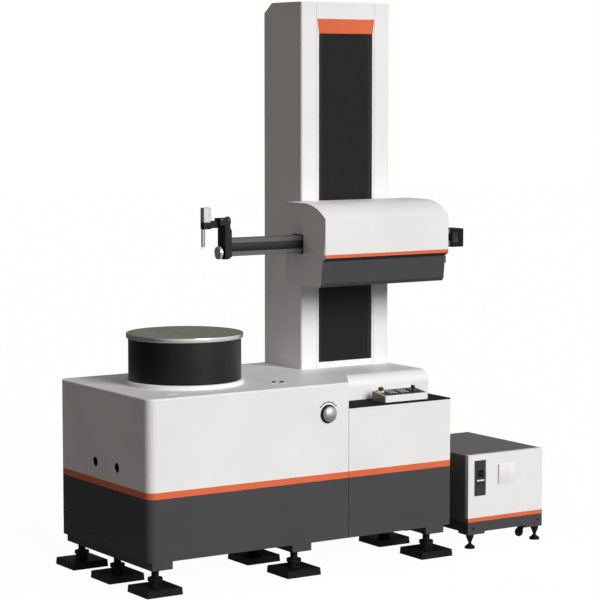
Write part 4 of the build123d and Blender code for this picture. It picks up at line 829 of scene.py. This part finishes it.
def dress_clamp_knob():
    """Clamp knob with a ribbed bright rim and a dished, turned face, on a dark hub and a stem."""
    radius = (clamp_high.y - clamp_low.y) / 2
    face_x, rim_depth, hub_depth = clamp_low.x, 12 * MM, 8 * MM
    rim_bevel, land = 1.2 * MM, 3 * MM
    dish_depth, boss_inset, boss_rise = 1.2 * MM, 9 * MM, 0.7 * MM

    def add_part(name, first_x, last_x, part_radius, sides):
        middle = ((first_x + last_x) / 2, clamp_centre[1], clamp_centre[2])
        return add_rod(name, middle, "X", part_radius, last_x - first_x, sides)

    knob = add_part("clamp_knob_finished", face_x, face_x + rim_depth, radius, 72)
    sink_ribs(knob, "X", 5, 0.8 * MM)
    edit_faces(knob, lambda centre, normal: normal.x < -0.9)
    bpy.ops.mesh.bevel(offset=rim_bevel, segments=2, affect="EDGES")
    leave_edit()
    edit_faces(knob, lambda centre, normal: normal.x < -0.99 and centre.x < face_x + 0.1 * MM)
    bpy.ops.mesh.inset(thickness=land)
    bpy.ops.mesh.extrude_region_move(TRANSFORM_OT_translate={"value": (dish_depth, 0, 0)})
    bpy.ops.mesh.inset(thickness=boss_inset)
    sink((-boss_rise, 0, 0))
    settle(knob, "clamp_knob", "bright_metal", chromed_steel, clamp_face_steel)
    for face in knob.data.polygons:
        inside = (face.center.yz - Vector(clamp_centre).yz).length < radius - land - 0.5 * MM
        face.material_index = 1 if inside and face.normal.x < -0.5 else 0
    hub_x = face_x + rim_depth
    hub = add_part("clamp_knob_hub", hub_x, hub_x + hub_depth, 18 * MM, 48)
    ease_edges(hub, 0.8, 2)
    settle(hub, "clamp_knob", "black_paint", black_abs)
    overlap, end_gap = 1 * MM, 1 * MM
    stem_x = hub_x + hub_depth - overlap
    stem = add_part("clamp_knob_stem", stem_x, clamp_high.x - end_gap, 8 * MM, 32)
    ease_edges(stem, 0.8, 2)
    settle(stem, "clamp_knob", "steel", ground_steel)
    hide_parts("clamp_knob")


def add_detector_details():
    """Dark joint under the detector body, and the screws of its holder."""
    body_low, body_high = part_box("detector_body")
    rise, joint_bottom, joint_top, corner = 0.3 * MM, 1.5 * MM, 3.3 * MM, 4 * MM
    joint = add_box(
        "detector_joint",
        (body_low.x - rise, body_low.y - rise, body_low.z + joint_bottom),
        (body_high.x + rise, body_high.y + rise, body_low.z + joint_top),
    )
    edit_faces(joint, lambda centre, normal: False)
    leave_edit()
    vertices = joint.data.vertices
    for edge in joint.data.edges:
        first, second = (vertices[index].co for index in edge.vertices)
        edge.select = abs(first.z - second.z) > MM
    bpy.ops.object.mode_set(mode="EDIT")
    bpy.ops.mesh.select_mode(type="EDGE")
    bpy.ops.mesh.bevel(offset=corner, segments=4, affect="EDGES")
    settle(joint, "detector", "black_plastic", black_abs)
    place = (-198 * MM, -38 * MM, 1480 * MM)
    screw = button_screw("pivot_block_screw_0", place, "Y", -1, 2.6, "arm", ground_steel)
    copy_of(screw, "pivot_block_screw_1", (32 * MM, 0, 0))


# Remote box

case_low, case_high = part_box("remote_case")
CASE_FRONT_HEIGHT, CASE_BACK_HEIGHT, CASE_DEPTH = 28 * MM, 40 * MM, 100 * MM
STICK_X, STICK_Y = 606 * MM, -300 * MM
slope = math.atan((CASE_BACK_HEIGHT - CASE_FRONT_HEIGHT) / CASE_DEPTH)
face_up = Vector((0, -math.sin(slope), math.cos(slope)))
face_along = Vector((0, math.cos(slope), math.sin(slope)))
face_middle = Vector(
    (
        (case_low.x + case_high.x) / 2,
        (case_low.y + case_high.y) / 2,
        case_low.z + CASE_FRONT_HEIGHT + (case_high.y - case_low.y) / 2 * math.tan(slope),
    )
)


def up_slope(y):
    """Distance from the middle of the box's sloping face, along it, to where y is."""
    return (y - face_middle.y) / math.cos(slope)


def lay_on_face(piece, x, along=0, height=0):
    """A piece that lies flat at the origin tilted and put on the box's sloping face, at x, a
    distance along from its middle, and a height over it."""
    piece.location = face_middle + face_along * along + face_up * height
    piece.location.x = x
    piece.rotation_euler = (slope, 0, 0)


def add_remote_membrane():
    """Dark membrane on the sloping face, with holes for the stop button and the joystick."""
    border, thickness = 5 * MM, 0.6 * MM
    half_width = (case_high.x - case_low.x) / 2 - border
    half_length = (case_high.y - case_low.y) / math.cos(slope) / 2 - border
    low, high = (-half_width, -half_length, 0), (half_width, half_length, thickness)
    face = add_box("remote_membrane", low, high)
    for name, x, y, radius in (
        ("hole_stop", 447 * MM, -285 * MM, 16 * MM),
        ("hole_stick", STICK_X, STICK_Y, 19.5 * MM),
    ):
        place = (x - face_middle.x, up_slope(y), 0)
        cut_out(face, add_rod(name, place, "Z", radius, 8 * MM, 48))
    ease_edges(face, 0.2, 1)
    lay_on_face(face, face_middle.x)
    settle(face, "frame", "black_plastic", membrane)


def add_joystick_collar():
    """Round-edged ring on the membrane, round the joystick's gimbal."""
    height, sunk, outer_radius, inner_radius = 3.2 * MM, 0.4 * MM, 25 * MM, 20 * MM
    collar = add_rod("joystick_collar", (0, 0, height / 2 - sunk), "Z", outer_radius, height, 56)
    cut_out(collar, add_rod("collar_hole", (0, 0, 0), "Z", inner_radius, 12 * MM, 56))
    ease_edges(collar, 1.0, 3)
    lay_on_face(collar, STICK_X, up_slope(STICK_Y))
    settle(collar, "frame", "black_plastic", black_abs)


def add_remote_painted_side_shade():
    """Painted shade on the case's two ends: grey caps that darken its sides, cut off a little under
    its sloping face.
    """
    rise, sunk, inset, under_face = 0.7 * MM, 0.2 * MM, 0.6 * MM, 0.8 * MM
    painted_side_shade = add_box(
        "remote_painted_side_shade_left",
        (case_low.x - rise, case_low.y + inset, case_low.z + inset),
        (case_low.x + sunk, case_high.y - inset, case_high.z + 5 * MM),
    )
    edit_faces(painted_side_shade, lambda centre, normal: True)
    cut_point = face_middle - face_up * under_face
    bpy.ops.mesh.bisect(plane_co=cut_point, plane_no=face_up, clear_outer=True, use_fill=True)
    leave_edit()
    ease_edges(painted_side_shade, 0.3, 2)
    settle(painted_side_shade, "frame", "grey_paint", seal_and_side_shade_grey)
    copy_of(painted_side_shade, "remote_painted_side_shade_right", (case_high.x - case_low.x + rise - sunk, 0, 0))


def add_key_prints():
    """White print on the keys, which stand in two blocks of three columns and four rows."""
    pitch, first_x, to_second_block, key_height = 14 * MM, 474 * MM, 60 * MM, 2.6 * MM
    corner = Vector((4.4 * MM, 4.0 * MM, 0.15 * MM))
    first_print = add_box("key_print_0", -corner, corner)
    ease_edges(first_print, 0.1, 1)
    lay_on_face(first_print, first_x, -1.5 * pitch, key_height)
    settle(first_print, "frame", "key_rubber", key_print)
    columns = [block + column * pitch for block in (0, to_second_block) for column in range(3)]
    places = [(across, row * pitch) for across in columns for row in range(4)]
    for number, (across, along) in enumerate(places[1:], 1):
        shift = Vector((across, 0, 0)) + face_along * along
        copy_of(first_print, f"key_print_{number}", shift)


# Cabinet


def add_door_details():
    """Lamp strips and outlet shutter on the switch panel, and a plate and its cover on the door."""
    panel_y, door_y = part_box("switch_panel")[0].y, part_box("cabinet_door")[0].y
    white, black = ("white_paint", panel_white), ("black_plastic", black_abs)
    # Corners as x and z, then how far it stands out and in, and its rounded edge, in mm
    for name, low, high, face_y, rise, sunk, edge, look in (
        ("lamp_strip_0", (927.6, 301.6), (942, 308.4), panel_y, 0.6, 1.5, 0.6, white),
        ("lamp_strip_1", (944.5, 301.6), (967.4, 308.4), panel_y, 0.6, 1.5, 0.6, white),
        ("outlet_shutter", (928.6, 287.6), (966.4, 297.4), panel_y, 0.5, 1.6, 0.45, black),
        ("door_plate", (1054, 278.5), (1138, 369.5), door_y, 0.2, 1.0, 0.15, white),
        ("door_plate_cover", (1093, 286), (1131, 362), door_y, 0.9, 1.0, 0.15, white),
    ):
        plate = add_box(
            name,
            (low[0] * MM, face_y - rise * MM, low[1] * MM),
            (high[0] * MM, face_y + sunk * MM, high[1] * MM),
        )
        ease_edges(plate, edge, 2)
        settle(plate, "frame", *look)


def add_breaker_details():
    """Bezel round the breaker's opening, and the dark well behind it that the lever tips in."""
    panel_low, panel_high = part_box("switch_panel")
    lever_low, lever_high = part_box("breaker_toggle")
    middle_x, middle_z = (lever_low.x + lever_high.x) / 2, (lever_low.z + lever_high.z) / 2

    def add_round_lever(name, half_width, half_height, front_y, back_y):
        return add_box(
            name,
            (middle_x - half_width, front_y, middle_z - half_height),
            (middle_x + half_width, back_y, middle_z + half_height),
        )

    bezel_front, bezel_back = panel_low.y - 1.2 * MM, panel_low.y + 1.0 * MM
    bezel = add_round_lever("breaker_bezel", 18 * MM, 19 * MM, bezel_front, bezel_back)
    edit_faces(bezel, lambda centre, normal: abs(normal.y) > 0.9)
    open_through(4.5 * MM)
    ease_edges(bezel, 0.6, 2)
    settle(bezel, "frame", "black_plastic", black_abs)
    well_front, well_back = panel_high.y + 0.1 * MM, panel_low.y + 16.4 * MM
    wall, well_depth = 0.15 * MM, 12.4 * MM
    half_width, half_height = 11.95 * MM, 13.45 * MM
    well = add_round_lever("breaker_well", half_width, half_height, well_front, well_back)
    edit_faces(well, lambda centre, normal: normal.y < -0.9)
    bpy.ops.mesh.inset(thickness=wall)
    sink((0, well_depth, 0))
    settle(well, "frame", "black_plastic", black_abs)


def add_cabinet_base_screws():
    """Two screws on the front of the cabinet's base, sunk a little into it."""
    sunk = 0.4 * MM
    face_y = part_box("cabinet_base")[0].y + sunk
    places = [(x * MM, face_y, 94.5 * MM) for x in (907, 1273)]
    add_screws("cabinet_base_screw", places, "Y", -1, 4.3)


def add_caster_caps():
    """Dished caps on both sides of each caster's hub."""
    radius, thickness, middle_out = 12 * MM, 0.8 * MM, 0.3 * MM
    border, dish_depth = 3 * MM, 0.3 * MM
    for caster in ("front", "rear"):
        wheel_low, wheel_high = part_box(f"caster_wheel_{caster}")
        middle = (wheel_low + wheel_high) / 2
        for side, outwards, face_y in (("a", -1, wheel_low.y), ("b", 1, wheel_high.y)):
            place = (middle.x, face_y + outwards * middle_out, middle.z)
            cap = add_rod(f"caster_hub_{caster}_{side}", place, "Y", radius, thickness, 40)
            edit_faces(cap, lambda centre, normal: normal.y * outwards > 0.9)
            bpy.ops.mesh.inset(thickness=border)
            sink((0, -outwards * dish_depth, 0))
            settle(cap, f"caster_wheel_{caster}", "grey_paint", panel_grey)


# Camera, light and floor


def set_camera():
    """Long lens from the front left, at the height of the column's upper half."""
    down, to_the_right = 5.56, 33.20
    bpy.ops.object.camera_add(
        location=(-5.0708, -8.0830, 2.0575),
        rotation=(math.radians(90 - down), 0, math.radians(-to_the_right)),
    )
    camera = bpy.context.object
    camera.data.sensor_width = 36
    camera.data.lens = 134.3
    bpy.context.scene.camera = camera


TOWARDS_KEY = Vector((0.16, -0.88, 0.43)).normalized()
TOWARDS_GLOW = Vector((0.42, -0.80, 0.43)).normalized()
WHITE = (1, 1, 1, 1)


def glow_towards(tree, direction, place, dark_end, bright_end):
    """Strength of a reflection: a tenth at dark_end, measured along a direction, and full at
    bright_end."""
    dot = {"operation": "DOT_PRODUCT", 1: direction}
    along = add_node(tree, "ShaderNodeVectorMath", dot, {0: place}).outputs["Value"]
    limits = {"From Min": dark_end, "From Max": bright_end, "To Min": 0.1, "To Max": 1.0}
    return add_node(tree, "ShaderNodeMapRange", limits, {"Value": along}).outputs["Result"]


def looked_at(tree, path):
    """1 where the camera looks straight or through something clear, and 0 elsewhere."""
    rays = {0: path.outputs["Is Camera Ray"], 1: path.outputs["Is Transmission Ray"]}
    return add_node(tree, "ShaderNodeMath", {"operation": "MAXIMUM"}, rays).outputs[0]


def mixed(tree, share, first, second):
    """Two shaders mixed: the first where the share is 0, and the second where it is 1."""
    links = {0: share, 1: first.outputs[0], 2: second.outputs[0]}
    return add_node(tree, "ShaderNodeMixShader", links=links)


def set_world():
    """White studio: pure white where it is looked at, a weak even fill on surfaces, and in
    reflections bright on the key light's side and softly darker away from it."""
    world = bpy.data.worlds.new("studio")
    bpy.context.scene.world = world
    world.use_nodes = True
    tree = world.node_tree
    tree.nodes.clear()
    path = add_node(tree, "ShaderNodeLightPath")
    direction = add_node(tree, "ShaderNodeTexCoord").outputs["Generated"]
    glow = glow_towards(tree, tuple(TOWARDS_GLOW), direction, -0.5, 0.75)
    fill = add_node(tree, "ShaderNodeBackground", {"Color": (1, 0.95, 0.91, 1), "Strength": 0.205})
    mirrored = add_node(tree, "ShaderNodeBackground", {"Color": WHITE}, {"Strength": glow})
    white = add_node(tree, "ShaderNodeBackground", {"Color": WHITE, "Strength": 1.0})
    lit = mixed(tree, path.outputs["Is Glossy Ray"], fill, mirrored)
    seen = mixed(tree, looked_at(tree, path), lit, white)
    add_node(tree, "ShaderNodeOutputWorld", links={"Surface": seen.outputs[0]})


def add_key_light():
    """Soft key light from the front right, a little above the object."""
    distance = 6
    bpy.ops.object.light_add(type="SUN", location=TOWARDS_KEY * distance)
    key = bpy.context.object
    key.rotation_euler = TOWARDS_KEY.to_track_quat("Z", "Y").to_euler()
    key.data.energy = 2.8
    key.data.angle = math.radians(30)
    deselect_all()


def add_floor():
    """Pale floor that looks as white as the studio and keeps a light shadow under the feet. In
    reflections it is bright on the key light's side and softly darker away from it, as the world
    is."""
    side, just_under_the_feet, own_white, own_share = 60, -0.5 * MM, 1.35, 0.72
    bpy.ops.mesh.primitive_plane_add(size=side, location=(0, 0, just_under_the_feet))
    floor = bpy.context.object
    floor.name = "studio_floor"
    material = bpy.data.materials.new("white_studio_floor")
    material.use_nodes = True
    tree = material.node_tree
    tree.nodes.clear()
    path = add_node(tree, "ShaderNodeLightPath")
    place = add_node(tree, "ShaderNodeTexCoord").outputs["Object"]
    glow = glow_towards(tree, (TOWARDS_GLOW.x, TOWARDS_GLOW.y, 0), place, -2.5, 6.0)
    matte = add_node(tree, "ShaderNodeBsdfDiffuse", {"Color": (0.15, 0.145, 0.14, 1)})
    white = add_node(tree, "ShaderNodeEmission", {"Color": WHITE, "Strength": own_white})
    mirrored = add_node(tree, "ShaderNodeEmission", {"Color": WHITE}, {"Strength": glow})
    times_share = {"operation": "MULTIPLY", 1: own_share}
    share = add_node(tree, "ShaderNodeMath", times_share, {0: looked_at(tree, path)})
    lit = mixed(tree, share.outputs[0], matte, white)
    seen = mixed(tree, path.outputs["Is Glossy Ray"], lit, mirrored)
    add_node(tree, "ShaderNodeOutputMaterial", links={"Surface": seen.outputs[0]})
    put_finish(floor, material)
    deselect_all()


def paint_solids():
    """The solids' finishes, on every slot they have."""
    for material, nodes in finishes.items():
        for node in nodes.split():
            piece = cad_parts[node]
            if piece.material_slots:
                for slot in piece.material_slots:
                    slot.material = material
            else:
                piece.data.materials.append(material)


paint_solids()
set_camera()
set_world()
add_key_light()
add_floor()
dress_table_disc()
add_drum_seam()
dress_regulator_knob()
add_knob_scale()
add_base_fastenings()
add_cover_screws()
add_seal_brushes()
add_column_gaskets()
dress_head_ends()
add_head_back()
add_arm_wipers_and_gap_shade()
add_arm_grooves()
add_end_block_panel()
add_head_latch()
dress_clamp_knob()
add_detector_details()
add_remote_membrane()
add_joystick_collar()
add_remote_painted_side_shade()
add_key_prints()
add_door_details()
add_breaker_details()
add_cabinet_base_screws()
add_caster_caps()

bpy.context.scene.view_settings.view_transform = "Standard"
